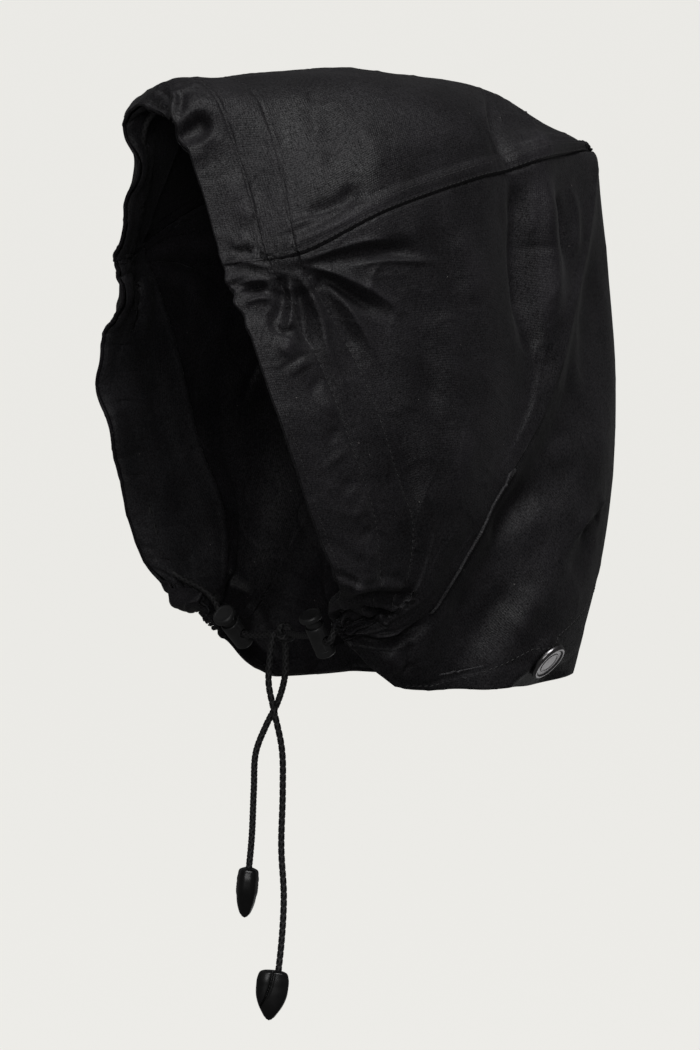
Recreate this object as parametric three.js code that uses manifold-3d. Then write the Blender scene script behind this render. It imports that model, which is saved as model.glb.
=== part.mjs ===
import * as THREE from 'three';
import Module from 'manifold-3d';

// Storm hood, millimetres, +Z up, front at -Y, the wearer's left at +X.
// The tables below are written from the front plane and the crown's top; SEAT moves the
// finished hood so that its origin is the spot of the inner crown where it sits on a head.
const WALL = 1.6;
const FACING_WALL = 1.2;
const GAP = 0.3;
const SEAT = new THREE.Vector3(0, 98, -2.1);
const CORD_RADIUS = 1.5;
const TUNNEL_ROOM = 5;
const STUD_RADIUS = 10.4;

// Places along a section, from the lower edge up to the middle of the crown.
const ALONG = {
  chin: 0, jaw: 0.13, lowCheek: 0.26, cheek: 0.41, temple: 0.6, upper: 0.8, seam: 1,
  shoulder: 1.22, brow: 1.34, crown: 1.45,
};

// One row per section, from the face edge round to the hem. v is its place from front to back.
const SECTIONS = [
  { name: 'edge', v: 0, chin: [57, 60, -257], jaw: [85, 47, -249], lowCheek: [87, 33, -220],
    cheek: [86.5, 18.5, -182], temple: [76, 8.5, -141], upper: [62, 5.5, -113], seam: [51.5, 2.3, -94],
    shoulder: [34, -1.5, -51], brow: [25.5, -7.5, -26], crown: [0, -10.5, -17] },
  { name: 'roll', v: 0.06, chin: [58, 60.8, -262.5], jaw: [84, 60, -251.5], lowCheek: [88, 52, -222],
    cheek: [88.5, 39, -185], temple: [79.5, 26, -141.5], upper: [67, 18.5, -111], seam: [58.5, 12.5, -92],
    shoulder: [37, 9, -46], brow: [25.5, 3, -17], crown: [0, 3.5, -6.5] },
  { name: 'stitch', v: 0.16, chin: [58.6, 62, -267.5], jaw: [79, 84, -254], lowCheek: [87, 88, -222],
    cheek: [89, 75, -186], temple: [83, 58, -140], upper: [76, 42, -108], seam: [72, 31, -88],
    shoulder: [48, 35, -41], brow: [29, 35, -12], crown: [0, 36, -4] },
  { name: 'side', v: 0.33, chin: [59, 63.5, -270], jaw: [79, 89, -258], lowCheek: [88, 100, -226],
    cheek: [91, 97, -192], temple: [88, 90, -142], upper: [84, 84, -100], seam: [80, 80, -66.5],
    shoulder: [57, 90, -20], brow: [31, 94, -4.5], crown: [0, 98, -0.5] },
  { name: 'rear', v: 0.48, chin: [59, 64.5, -271.5], jaw: [77, 93, -262], lowCheek: [86, 110, -231],
    cheek: [89, 119, -198], temple: [84, 132, -150], upper: [78, 136, -103], seam: [69, 138, -52.5],
    shoulder: [46, 150, -19], brow: [24, 153, -9.5], crown: [0, 155, -6] },
  { name: 'valley', v: 0.58, chin: [59, 65.5, -273], jaw: [75, 96, -265], lowCheek: [82, 115, -235],
    cheek: [83, 132, -202], temple: [67, 164, -157], upper: [60, 167, -107], seam: [57, 161, -50],
    shoulder: [33, 173, -26], brow: [18, 182, -16.5], crown: [0, 190, -11.5] },
  { name: 'flare', v: 0.68, chin: [58.5, 66.3, -274.3], jaw: [73.5, 97.5, -266.5], lowCheek: [80, 118, -237],
    cheek: [80, 138, -204], temple: [66.5, 173, -161], upper: [57, 187.4, -112], seam: [42, 200, -43],
    shoulder: [22, 218.5, -33], brow: [11, 224, -31.5], crown: [0, 226, -31] },
  { name: 'ridge', v: 0.78, chin: [58, 67.2, -275.6], jaw: [72, 99, -268], lowCheek: [78, 121, -239],
    cheek: [77, 143, -206], temple: [66, 179, -164], upper: [53, 204.4, -115], seam: [0, 250, -46.4],
    shoulder: [0, 250, -46.4], brow: [0, 250, -46.4], crown: [0, 250, -46.4] },
  { name: 'back', v: 0.86, chin: [60, 75, -283], jaw: [70, 104, -280], lowCheek: [76, 128, -262],
    cheek: [77, 152, -238], temple: [67, 190, -208], upper: [43, 231, -168], seam: [0, 258.5, -128] },
  { name: 'nape', v: 0.93, chin: [60.5, 86, -293], jaw: [67, 110, -290], lowCheek: [73, 134, -284],
    cheek: [75, 157, -274], temple: [68, 192, -257], upper: [40, 231, -232], seam: [0, 254, -208] },
  { name: 'hem', v: 1, chin: [57.8, 96.7, -300], jaw: [64, 117, -301], lowCheek: [70, 138, -301],
    cheek: [73, 158, -300.5], temple: [68, 183, -301], upper: [46, 208, -296.5], seam: [0, 227, -293] },
];
const RIDGE_ROW = 7;
const RIDGE_V = SECTIONS[RIDGE_ROW].v;

// Folds and dents: half is left, right or both; path is in (along, v); depth is out when positive.
const FOLDS = [
  { name: 'brow dent', half: 'left', path: [[1.306, 0.012], [1.28, 0.052]], width: 5.5, depth: -3 },
  { name: 'apex gather a', half: 'left', path: [[1.42, 0], [1.43, 0.08]], width: 3.6, depth: -2.4 },
  { name: 'apex gather b', half: 'right', path: [[1.4, 0], [1.41, 0.09]], width: 3.6, depth: -2.4 },
  { name: 'apex gather c', half: 'right', path: [[1.34, 0], [1.36, 0.07]], width: 4, depth: 2.2 },
  { name: 'crown groove', half: 'left', path: [[1.34, 0.25], [1.257, 0.232], [1.17, 0.223]], width: 5, depth: -2.2 },
  { name: 'hook valley', half: 'left', path: [[1.087, 0.164], [1.076, 0.211], [1.061, 0.251], [1.098, 0.27]],
    width: 5, depth: -2.8 },
  { name: 'hook ridge', half: 'left', path: [[1.05, 0.1], [1.068, 0.173], [1.05, 0.256], [1.011, 0.31]],
    width: 4, depth: 2 },
  { name: 'soft crown ridge', half: 'both', path: [[1.2, 0.284], [1.136, 0.301], [1.064, 0.311]],
    width: 7, depth: 1.6 },
  { name: 'back valley on the crown', half: 'both', path: [[1.37, 0.557], [1.216, 0.557], [1.07, 0.576], [0.99, 0.589]],
    width: 6.5, depth: -2.6 },
  { name: 'back valley on the side', half: 'both', path: [[0.973, 0.587], [0.9, 0.59], [0.8, 0.568], [0.653, 0.628]],
    width: 7.5, depth: -2.8 },
  { name: 'bump by the seam', half: 'left', path: [[1.13, 0.62], [1.1, 0.628]], width: 5.5, depth: 2.2 },
  { name: 'bright ridge', half: 'both', path: [[0.965, 0.645], [0.915, 0.647], [0.819, 0.661], [0.69, 0.675]],
    width: 6, depth: 2.4 },
  { name: 'rear valley', half: 'left', path: [[0.955, 0.685], [0.9, 0.695], [0.84, 0.705]], width: 4.5, depth: -2 },
  { name: 'star hollow', half: 'both', path: [[0.955, 0.15], [0.915, 0.265], [0.86, 0.375]], width: 7, depth: -3.6 },
  { name: 'star upper line', half: 'left', path: [[0.985, 0.16], [0.965, 0.25], [0.91, 0.385]], width: 4, depth: 1.8 },
  { name: 'star second valley', half: 'left', path: [[0.938, 0.15], [0.849, 0.191], [0.772, 0.222], [0.714, 0.282]],
    width: 4.8, depth: -3 },
  { name: 'star ridge', half: 'both', path: [[0.93, 0.17], [0.86, 0.24], [0.79, 0.31]], width: 4.5, depth: 2 },
  { name: 'star third valley', half: 'both', path: [[0.9, 0.138], [0.8, 0.118], [0.7, 0.103], [0.633, 0.095]],
    width: 4.8, depth: -2.8 },
  { name: 'star low ridge', half: 'left', path: [[0.86, 0.1], [0.74, 0.06], [0.629, 0.038]], width: 5, depth: 2 },
  { name: 'casing pleat a', half: 'both', path: [[0.595, 0.02], [0.59, 0.08]], width: 6, depth: 1.8 },
  { name: 'casing pleat b', half: 'both', path: [[0.514, 0.01], [0.514, 0.09]], width: 6, depth: 1.8 },
  { name: 'casing pleat c', half: 'both', path: [[0.405, 0.01], [0.4, 0.09]], width: 6.5, depth: 1.8 },
  { name: 'casing pleat d', half: 'both', path: [[0.315, 0.01], [0.315, 0.09]], width: 6.5, depth: 1.8 },
  { name: 'casing pleat e', half: 'both', path: [[0.2, 0.01], [0.2, 0.09]], width: 6, depth: 1.8 },
  { name: 'bundle gather a', half: 'both', path: [[0, 0.22], [0.14, 0.2]], width: 2.4, depth: 1.8 },
  { name: 'bundle gather b', half: 'both', path: [[0, 0.46], [0.14, 0.44]], width: 2.4, depth: 1.8 },
  { name: 'bundle gather c', half: 'both', path: [[0, 0.7], [0.12, 0.66]], width: 2.4, depth: 1.8 },
  { name: 'lower rear ridge', half: 'both', path: [[0.722, 0.876], [0.591, 0.85], [0.483, 0.831], [0.413, 0.826]],
    width: 6, depth: 2.8 },
  { name: 'lower rear valley', half: 'both', path: [[0.6, 0.82], [0.529, 0.808], [0.444, 0.806], [0.371, 0.799]],
    width: 5, depth: -2.2 },
  { name: 'flap valley', half: 'both', path: [[0.417, 0.89], [0.328, 0.9], [0.243, 0.931]], width: 7.5, depth: -2.4 },
  { name: 'back notch', half: 'left', path: [[0.8, 0.9], [0.74, 0.897], [0.676, 0.893], [0.614, 0.897]],
    width: 5, depth: 2.4 },
  { name: 'flap light patch', half: 'left', path: [[0.09, 0.81], [0.077, 0.885]], width: 6, depth: 1.6 },
  { name: 'far flap bulge', half: 'right', path: [[0.06, 0.87], [0.14, 0.86]], width: 12, depth: 7 },
  { name: 'far casing bulge', half: 'right', path: [[0.08, 0.3], [0.17, 0.36]], width: 8, depth: 4 },
  { name: 'far casing end', half: 'right', path: [[0.05, 0], [0.06, 0.05], [0.085, 0.12]], width: 13, depth: 5.5 },
];

// Cells of each panel; both panels share the lines that run from front to back.
const SIDE_LINES = [0, 0.04, 0.085, 0.13, 0.18, 0.235, 0.29, 0.345, 0.405, 0.46, 0.514, 0.57, 0.63, 0.69,
  0.75, 0.81, 0.86, 0.905, 0.95, 1];
const CROWN_LINES = [1, 1.055, 1.11, 1.17, 1.23, 1.29, 1.35, 1.4, 1.45];
const FRONT_LINES = [0, 0.04, 0.08, 0.12, 0.16, 0.205, 0.25, 0.3, 0.36, 0.43, 0.5, 0.555, 0.6, 0.645, 0.69];
const TONGUE_LINES = [0.73, 0.765];
const BACK_LINES = [0.735, RIDGE_V, 0.805, 0.832, 0.86, 0.89, 0.922, 0.955, 0.978, 1];
const CASING_LINES = [0, 0.04, 0.08, 0.12, 0.16];
const CASING_DROP = [0, TUNNEL_ROOM, 0, 0, 0];
const HEM_LINES = [0.955, 0.978, 1];

const wasm = await Module();
wasm.setup();

// Hermite curve through values at knots, with finite-difference slopes; a crease breaks the slope.
function curveAt(knots, values, t, crease) {
  const last = knots.length - 1;
  let k = 0;
  while (k < last - 1 && t >= knots[k + 1]) k += 1;
  const slope = (i) => (values[i + 1] - values[i]) / (knots[i + 1] - knots[i]);
  const tangent = (i, onRight) => {
    if (i === 0) return slope(0);
    if (i === last) return slope(last - 1);
    if (i === crease) return onRight ? slope(i) : slope(i - 1);
    const before = knots[i] - knots[i - 1];
    const after = knots[i + 1] - knots[i];
    return (slope(i) * before + slope(i - 1) * after) / (before + after);
  };
  const h = knots[k + 1] - knots[k];
  const s = (t - knots[k]) / h;
  const s2 = s * s;
  const s3 = s2 * s;
  return (2 * s3 - 3 * s2 + 1) * values[k] + (s3 - 2 * s2 + s) * h * tangent(k, true)
    + (3 * s2 - 2 * s3) * values[k + 1] + (s3 - s2) * h * tangent(k + 1, false);
}

const PLACE_NAMES = Object.keys(ALONG);
const SIDE_NAMES = PLACE_NAMES.filter((place) => ALONG[place] <= 1);

// The point of one section row at a place along it; past its middle it continues mirrored.
function sectionPoint(row, along) {
  const hasCrown = row.crown !== undefined && row.name !== 'ridge';
  const names = hasCrown ? PLACE_NAMES : SIDE_NAMES;
  const knots = names.map((place) => ALONG[place]);
  const points = names.map((place) => row[place]);
  const count = knots.length;
  const before = points[count - 2];
  knots.push(2 * knots[count - 1] - knots[count - 2]);
  points.push([-before[0], before[1], before[2]]);
  return [0, 1, 2].map((axis) => curveAt(knots, points.map((point) => point[axis]), along, -1));
}

const sectionCache = new Map();
function sectionsAt(along, isCrown) {
  const key = `${isCrown} ${along.toFixed(6)}`;
  if (!sectionCache.has(key)) {
    const rows = isCrown ? SECTIONS.slice(0, RIDGE_ROW + 1) : SECTIONS;
    sectionCache.set(key, rows.map((row) => sectionPoint(row, isCrown && row.name === 'ridge' ? 1 : along)));
  }
  return sectionCache.get(key);
}

// The plain surface of the left half: along 0 to 1 is the side panel, 1 to 1.45 the crown.
function plainPoint(along, v) {
  const isCrown = along > 1;
  const points = sectionsAt(along, isCrown);
  const knots = SECTIONS.slice(0, points.length).map((row) => row.v);
  const place = Math.min(v, knots[knots.length - 1]);
  const xyz = [0, 1, 2].map((axis) => curveAt(knots, points.map((point) => point[axis]), place, RIDGE_ROW));
  return new THREE.Vector3(...xyz);
}

function crossNormal(point, along, v, stepAlong, stepV) {
  const isSide = along <= 1;
  const low = isSide ? 0 : 1;
  const high = isSide ? 1 : 1.45;
  const topV = isSide ? 1 : RIDGE_V;
  const a = point(Math.min(along + stepAlong, high), v);
  const b = point(Math.max(along - stepAlong, low), v);
  const c = point(along, Math.min(v + stepV, topV));
  const d = point(along, Math.max(v - stepV, 0));
  return c.sub(d).cross(a.sub(b)).normalize();
}

const normalCache = new Map();
function plainNormal(along, v) {
  const key = `${along.toFixed(5)} ${v.toFixed(5)}`;
  if (!normalCache.has(key)) normalCache.set(key, crossNormal(plainPoint, along, v, 0.004, 0.004));
  return normalCache.get(key);
}

const mirrored = (point) => new THREE.Vector3(-point.x, point.y, point.z);

// Each fold's path as points of the plain surface.
const FOLD_PATHS = [];
for (const fold of FOLDS) {
  const steps = 5 * (fold.path.length - 1);
  const knots = fold.path.map((spot, index) => index);
  const points = [];
  for (let i = 0; i <= steps; i += 1) {
    const t = (i / steps) * (fold.path.length - 1);
    const along = curveAt(knots, fold.path.map((spot) => spot[0]), t, -1);
    const v = curveAt(knots, fold.path.map((spot) => spot[1]), t, -1);
    points.push(plainPoint(along, Math.max(v, 0)));
  }
  if (fold.half !== 'right') FOLD_PATHS.push({ ...fold, points });
  if (fold.half !== 'left') FOLD_PATHS.push({ ...fold, points: points.map(mirrored) });
}

function foldDepth(point) {
  let depth = 0;
  const line = new THREE.Line3();
  const nearest = new THREE.Vector3();
  for (const fold of FOLD_PATHS) {
    const last = fold.points.length - 1;
    let best = Infinity;
    let place = 0;
    for (let i = 0; i < last; i += 1) {
      line.set(fold.points[i], fold.points[i + 1]);
      line.closestPointToPoint(point, true, nearest);
      const distance = nearest.distanceTo(point);
      if (distance < best) {
        best = distance;
        place = (i + nearest.distanceTo(fold.points[i]) / Math.max(line.distance(), 1e-6)) / last;
      }
    }
    const reach = best / fold.width;
    if (reach < 2.6) {
      const taper = 0.45 + 0.55 * Math.sin(Math.PI * Math.min(Math.max(place, 0), 1));
      depth += fold.depth * taper * Math.exp(-reach * reach);
    }
  }
  return depth;
}

// Snap studs sit near the hem; the cloth is drawn flat around each and turned in towards the neck.
const STUD_SPOT = [0.541, 0.975];
const STUD_NORMAL = new THREE.Vector3(0.669, 0.361, -0.649).normalize();
const STUD_CENTRE = plainPoint(...STUD_SPOT).addScaledVector(plainNormal(...STUD_SPOT), -2.5);

function clothPoint(along, v) {
  const base = plainPoint(along, v);
  const normal = plainNormal(along, v);
  return { base, normal };
}

function flattened(point, sign) {
  const centre = new THREE.Vector3(sign * STUD_CENTRE.x, STUD_CENTRE.y, STUD_CENTRE.z);
  const normal = new THREE.Vector3(sign * STUD_NORMAL.x, STUD_NORMAL.y, STUD_NORMAL.z);
  const height = point.clone().sub(centre).dot(normal);
  const radius = point.clone().sub(centre).addScaledVector(normal, -height).length();
  const share = 1 - THREE.MathUtils.smoothstep(radius, STUD_RADIUS + 1.5, STUD_RADIUS + 18);
  return point.addScaledVector(normal, -height * share);
}

function displaced(along, v, sign) {
  const { base, normal } = clothPoint(along, v);
  const point = new THREE.Vector3(sign * base.x, base.y, base.z);
  const outward = new THREE.Vector3(sign * normal.x, normal.y, normal.z);
  const nearMiddle = along <= 1 && v >= RIDGE_V ? Math.min(Math.abs(base.x) / 12, 1) : 1;
  point.addScaledVector(outward, foldDepth(point) * nearMiddle);
  return v > 0.85 ? flattened(point, sign) : point;
}

function displacedNormal(along, v, sign) {
  const at = (a, b) => displaced(a, b, sign);
  const normal = crossNormal(at, along, v, 0.012, 0.012).multiplyScalar(sign);
  const plain = plainNormal(along, v);
  normal.add(new THREE.Vector3(sign * plain.x, plain.y, plain.z).multiplyScalar(0.6)).normalize();
  const onMiddle = (along === 1 && v >= RIDGE_V) || along === 1.45;
  if (onMiddle) normal.setX(0).normalize();
  return normal;
}

// Outer points and normals on a grid of lines. sign is +1 on the left half.
const spotCache = new Map();
function spot(along, v, sign) {
  const key = `${along} ${v} ${sign}`;
  if (!spotCache.has(key)) {
    const near = along === 1 && v < RIDGE_V;
    const normal = displacedNormal(along, v, sign);
    if (near) normal.add(displacedNormal(1.0001, v, sign)).normalize();
    spotCache.set(key, { point: displaced(along, v, sign), normal });
  }
  const found = spotCache.get(key);
  return { point: found.point.clone(), normal: found.normal.clone() };
}

function pullIn(grid, isLast) {
  for (const row of grid) {
    const edge = isLast ? row[row.length - 1] : row[0];
    const next = isLast ? row[row.length - 2] : row[1];
    const step = next.point.clone().sub(edge.point).normalize();
    edge.point.addScaledVector(step, 0.2);
  }
}

// A closed cloth piece from a grid of spots: outer skin, inner skin and its four edges.
function clothGeometry(grid, drops, wall) {
  const rows = grid.length;
  const columns = grid[0].length;
  const positions = [];
  for (const depth of [0, wall]) {
    for (let i = 0; i < rows; i += 1) {
      for (let j = 0; j < columns; j += 1) {
        const { point, normal } = grid[i][j];
        const drop = (drops ? drops[i] : 0) + depth;
        positions.push(...point.clone().addScaledVector(normal, -drop).toArray());
      }
    }
  }
  const at = (layer, i, j) => layer * rows * columns + i * columns + j;
  const triangles = [];
  const quad = (a, b, c, d) => triangles.push(a, b, c, a, c, d);
  for (let i = 0; i < rows - 1; i += 1) {
    for (let j = 0; j < columns - 1; j += 1) {
      const onLeft = grid[i][j].point.x + grid[i + 1][j + 1].point.x > 0;
      if (onLeft) {
        quad(at(0, i, j), at(0, i + 1, j), at(0, i + 1, j + 1), at(0, i, j + 1));
        quad(at(1, i, j), at(1, i, j + 1), at(1, i + 1, j + 1), at(1, i + 1, j));
      } else {
        quad(at(0, i, j + 1), at(0, i, j), at(0, i + 1, j), at(0, i + 1, j + 1));
        quad(at(1, i, j + 1), at(1, i + 1, j + 1), at(1, i + 1, j), at(1, i, j));
      }
    }
  }
  for (let i = 0; i < rows - 1; i += 1) {
    quad(at(0, i, 0), at(1, i, 0), at(1, i + 1, 0), at(0, i + 1, 0));
    quad(at(0, i, columns - 1), at(0, i + 1, columns - 1), at(1, i + 1, columns - 1), at(1, i, columns - 1));
  }
  for (let j = 0; j < columns - 1; j += 1) {
    quad(at(0, 0, j), at(0, 0, j + 1), at(1, 0, j + 1), at(1, 0, j));
    quad(at(0, rows - 1, j), at(1, rows - 1, j), at(1, rows - 1, j + 1), at(0, rows - 1, j + 1));
  }
  const geometry = new THREE.BufferGeometry();
  geometry.setAttribute('position', new THREE.Float32BufferAttribute(positions, 3));
  geometry.setIndex(triangles);
  return geometry;
}

function sideGrid(sign) {
  const lines = [...FRONT_LINES, ...BACK_LINES];
  const grid = lines.map((v) => SIDE_LINES.map((along) => spot(along, v, sign)));
  pullIn(grid, true);
  return sign > 0 ? grid : grid.map((row) => [...row].reverse());
}

function crownGrid() {
  const lines = [...FRONT_LINES, ...TONGUE_LINES];
  const left = CROWN_LINES.slice(0, -1);
  const right = [...CROWN_LINES].reverse();
  const grid = lines.map((v) => [
    ...left.map((along) => spot(along, v, 1)),
    ...right.map((along) => spot(along, v, -1)),
  ]);
  pullIn(grid, false);
  pullIn(grid, true);
  return grid;
}

// The whole way round the face edge, from the left casing end to the right one.
function roundFace(v) {
  const left = [...SIDE_LINES, ...CROWN_LINES.slice(1, -1)];
  const right = [...CROWN_LINES].reverse().slice(0, -1).concat([...SIDE_LINES].reverse());
  return [...left.map((along) => spot(along, v, 1)), ...right.map((along) => spot(along, v, -1))];
}

function roundHem(v) {
  const half = SIDE_LINES.slice(1);
  const left = half.slice(0, -1).map((along) => spot(along, v, 1));
  const right = [...half].reverse().map((along) => spot(along, v, -1));
  return [...left, ...right];
}

const toManifold = (geometry) => {
  const plain = geometry.clone();
  const welded = plain.index ? plain : mergedCorners(plain);
  return new wasm.Manifold(new wasm.Mesh({
    numProp: 3,
    vertProperties: new Float32Array(welded.attributes.position.array),
    triVerts: new Uint32Array(welded.index.array),
  }));
};

function mergedCorners(geometry) {
  const source = geometry.index ? geometry.toNonIndexed() : geometry;
  const array = source.attributes.position.array;
  const seen = new Map();
  const positions = [];
  const triangles = [];
  for (let i = 0; i < array.length; i += 3) {
    const key = [array[i], array[i + 1], array[i + 2]].map((value) => Math.round(value * 1e4) + 0).join(' ');
    if (!seen.has(key)) {
      seen.set(key, positions.length / 3);
      positions.push(array[i], array[i + 1], array[i + 2]);
    }
    triangles.push(seen.get(key));
  }
  const kept = [];
  for (let i = 0; i < triangles.length; i += 3) {
    const [a, b, c] = triangles.slice(i, i + 3);
    if (a !== b && b !== c && a !== c) kept.push(a, b, c);
  }
  const merged = new THREE.BufferGeometry();
  merged.setAttribute('position', new THREE.Float32BufferAttribute(positions, 3));
  merged.setIndex(kept);
  return merged;
}

const fromManifold = (solid) => {
  const mesh = solid.getMesh();
  const geometry = new THREE.BufferGeometry();
  geometry.setAttribute('position', new THREE.Float32BufferAttribute(mesh.vertProperties, 3));
  geometry.setIndex(Array.from(mesh.triVerts));
  return geometry;
};

// A round body turned about Z from a closed profile of [radius, height] corners.
function turned(profile, segments) {
  const corners = [...profile, profile[0]].map(([radius, height]) => new THREE.Vector2(radius, height));
  const geometry = new THREE.LatheGeometry(corners, segments);
  geometry.rotateX(Math.PI / 2);
  const merged = mergedCorners(geometry);
  if (signedVolume(merged) < 0) reverseFaces(merged);
  return merged;
}

function signedVolume(geometry) {
  const p = geometry.attributes.position.array;
  const index = geometry.index.array;
  let volume = 0;
  for (let i = 0; i < index.length; i += 3) {
    const [a, b, c] = [index[i] * 3, index[i + 1] * 3, index[i + 2] * 3];
    volume += p[a] * (p[b + 1] * p[c + 2] - p[b + 2] * p[c + 1])
      + p[a + 1] * (p[b + 2] * p[c] - p[b] * p[c + 2])
      + p[a + 2] * (p[b] * p[c + 1] - p[b + 1] * p[c]);
  }
  return volume / 6;
}

function reverseFaces(geometry) {
  const index = Array.from(geometry.index.array);
  for (let i = 0; i < index.length; i += 3) [index[i + 1], index[i + 2]] = [index[i + 2], index[i + 1]];
  geometry.setIndex(index);
}

// A round cord through points, with flat ends.
function cordGeometry(points, radius, sides) {
  const positions = [];
  const triangles = [];
  const count = points.length;
  let up = new THREE.Vector3(0.2, 0.1, 1).normalize();
  points.forEach((point, i) => {
    const tangent = points[Math.min(i + 1, count - 1)].clone().sub(points[Math.max(i - 1, 0)]).normalize();
    up = up.clone().addScaledVector(tangent, -up.dot(tangent)).normalize();
    const across = tangent.clone().cross(up);
    for (let k = 0; k < sides; k += 1) {
      const turn = (2 * Math.PI * k) / sides;
      const corner = point.clone().addScaledVector(up, radius * Math.cos(turn));
      corner.addScaledVector(across, radius * Math.sin(turn));
      positions.push(...corner.toArray());
    }
  });
  for (let i = 0; i < count - 1; i += 1) {
    for (let k = 0; k < sides; k += 1) {
      const a = i * sides + k;
      const b = i * sides + ((k + 1) % sides);
      triangles.push(a, b, b + sides, a, b + sides, a + sides);
    }
  }
  const end = (count - 1) * sides;
  for (let k = 1; k < sides - 1; k += 1) {
    triangles.push(0, k + 1, k, end, end + k, end + k + 1);
  }
  const geometry = new THREE.BufferGeometry();
  geometry.setAttribute('position', new THREE.Float32BufferAttribute(positions, 3));
  geometry.setIndex(triangles);
  if (signedVolume(geometry) < 0) reverseFaces(geometry);
  return geometry;
}

// Places a body built about Z so that its Z axis points along the given direction.
function placed(geometry, origin, direction, spin) {
  const turn = new THREE.Quaternion().setFromUnitVectors(new THREE.Vector3(0, 0, 1), direction);
  const matrix = new THREE.Matrix4().makeRotationZ(spin || 0);
  matrix.premultiply(new THREE.Matrix4().makeRotationFromQuaternion(turn));
  matrix.premultiply(new THREE.Matrix4().makeTranslation(origin.x, origin.y, origin.z));
  geometry.applyMatrix4(matrix);
  return geometry;
}

const hood = new THREE.Group();
hood.name = 'storm_hood';
function add(name, geometry, color, roughness) {
  geometry.translate(-SEAT.x, -SEAT.y, -SEAT.z);
  const mesh = new THREE.Mesh(geometry, new THREE.MeshStandardMaterial({ color, roughness }));
  mesh.name = name;
  hood.add(mesh);
}

const CLOTH = 0x17161a;
const PLASTIC = 0x101012;
const METAL = 0x1c1b1e;
const CORD = 0x121214;

// Studs: a cap outside with a post through the cloth, and a socket ring inside.
const CAP_PROFILE = [[0, -3.1], [2, -3.1], [2, GAP], [STUD_RADIUS - 0.6, GAP], [STUD_RADIUS, 0.9],
  [STUD_RADIUS, 2.1], [STUD_RADIUS - 1, 3], [STUD_RADIUS - 3, 2.3], [0, 2.6]];
const SOCKET_TOP = -(WALL + FACING_WALL + 2 * GAP);
const SOCKET_PROFILE = [[2.6, SOCKET_TOP], [7.5, SOCKET_TOP], [7.5, SOCKET_TOP - 1.2], [5.6, SOCKET_TOP - 1.8],
  [5.6, SOCKET_TOP - 4], [3.4, SOCKET_TOP - 4], [2.6, SOCKET_TOP - 1.6]];

function studFrame(sign) {
  const origin = new THREE.Vector3(sign * STUD_CENTRE.x, STUD_CENTRE.y, STUD_CENTRE.z);
  const direction = new THREE.Vector3(sign * STUD_NORMAL.x, STUD_NORMAL.y, STUD_NORMAL.z);
  return { origin, direction };
}

function studHole(geometry, sign) {
  const { origin, direction } = studFrame(sign);
  const drill = turned([[0, -9], [2.4, -9], [2.4, 3], [0, 3]], 10);
  return fromManifold(toManifold(geometry).subtract(toManifold(placed(drill, origin, direction))));
}

const frontDrop = WALL + GAP;
const facingRows = CASING_LINES.map((v) => roundFace(v));
const facingDrops = CASING_DROP.map((room) => frontDrop + room);
const hemRows = HEM_LINES.map((v) => roundHem(v));
const hemDrops = HEM_LINES.map(() => frontDrop);

add('crown_panel', clothGeometry(crownGrid(), null, WALL), CLOTH, 0.6);
add('side_panel_left', studHole(clothGeometry(sideGrid(1), null, WALL), 1), CLOTH, 0.6);
add('side_panel_right', studHole(clothGeometry(sideGrid(-1), null, WALL), -1), CLOTH, 0.6);
add('face_facing', clothGeometry(facingRows, facingDrops, FACING_WALL), CLOTH, 0.7);
let neckFacing = clothGeometry(hemRows, hemDrops, FACING_WALL);
neckFacing = studHole(studHole(neckFacing, 1), -1);
add('neck_facing', neckFacing, CLOTH, 0.7);

for (const [side, sign] of [['left', 1], ['right', -1]]) {
  const { origin, direction } = studFrame(sign);
  add(`snap_cap_${side}`, placed(turned(CAP_PROFILE, 18), origin, direction), METAL, 0.35);
  add(`snap_socket_${side}`, placed(turned(SOCKET_PROFILE, 12), origin, direction), METAL, 0.35);
}

// The viewer's side direction and depth direction, in which the cord hangs were read.
const ACROSS = new THREE.Vector3(0.5446, 0.8387, 0);
const TOWARD = new THREE.Vector3(0.8387, -0.5446, 0);
const KNOT = new THREE.Vector3(0, 70.3, -274.3);

// Cord locks: cord height is zero on the lock's own axis, which points up to its button.
const LOCKS = [
  { side: 'left', centre: [46.8, 60.6, -274.6], down: [-0.169, 0.524, -0.834] },
  { side: 'right', centre: [-36, 65.5, -275.4], down: [-0.288, 0.728, -0.622] },
];
const LOCK = { outer: 5, bore: 4.1, stem: 3.8, head: 5.85, bottom: -9, top: 8, travel: 3 };

function lockParts(lock) {
  const centre = new THREE.Vector3(...lock.centre);
  const up = new THREE.Vector3(...lock.down).normalize().negate();
  const cordWay = new THREE.Vector3(1, 0, 0).addScaledVector(up, -up.x).normalize();
  const basis = new THREE.Matrix4().makeBasis(cordWay, up.clone().cross(cordWay), up).setPosition(centre);
  const shell = turned([[0, LOCK.bottom], [3.6, LOCK.bottom], [LOCK.outer, LOCK.bottom + 1.4], [LOCK.outer, LOCK.top - 0.5],
    [LOCK.outer - 0.5, LOCK.top], [LOCK.bore, LOCK.top], [LOCK.bore, LOCK.bottom + 1.5], [0, LOCK.bottom + 1.5]], 14);
  const across = new THREE.CylinderGeometry(2.3, 2.3, 16, 10).rotateZ(Math.PI / 2);
  const slot = new THREE.BoxGeometry(16, 4.4, 7.2).translate(0, 0, 1.5);
  const barrel = toManifold(shell).subtract(toManifold(mergedCorners(across)));
  const button = turned([[0, -4.2], [LOCK.stem, -4.2], [LOCK.stem, 11.6], [LOCK.head - 0.7, 11.8], [LOCK.head, 12.6],
    [LOCK.head, 14.2], [LOCK.head - 1, 15], [0, 15.2]], 14);
  const plunger = toManifold(button).subtract(toManifold(mergedCorners(slot)));
  return { centre, up, cordWay, barrel: fromManifold(barrel).applyMatrix4(basis), plunger: fromManifold(plunger).applyMatrix4(basis) };
}

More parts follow.
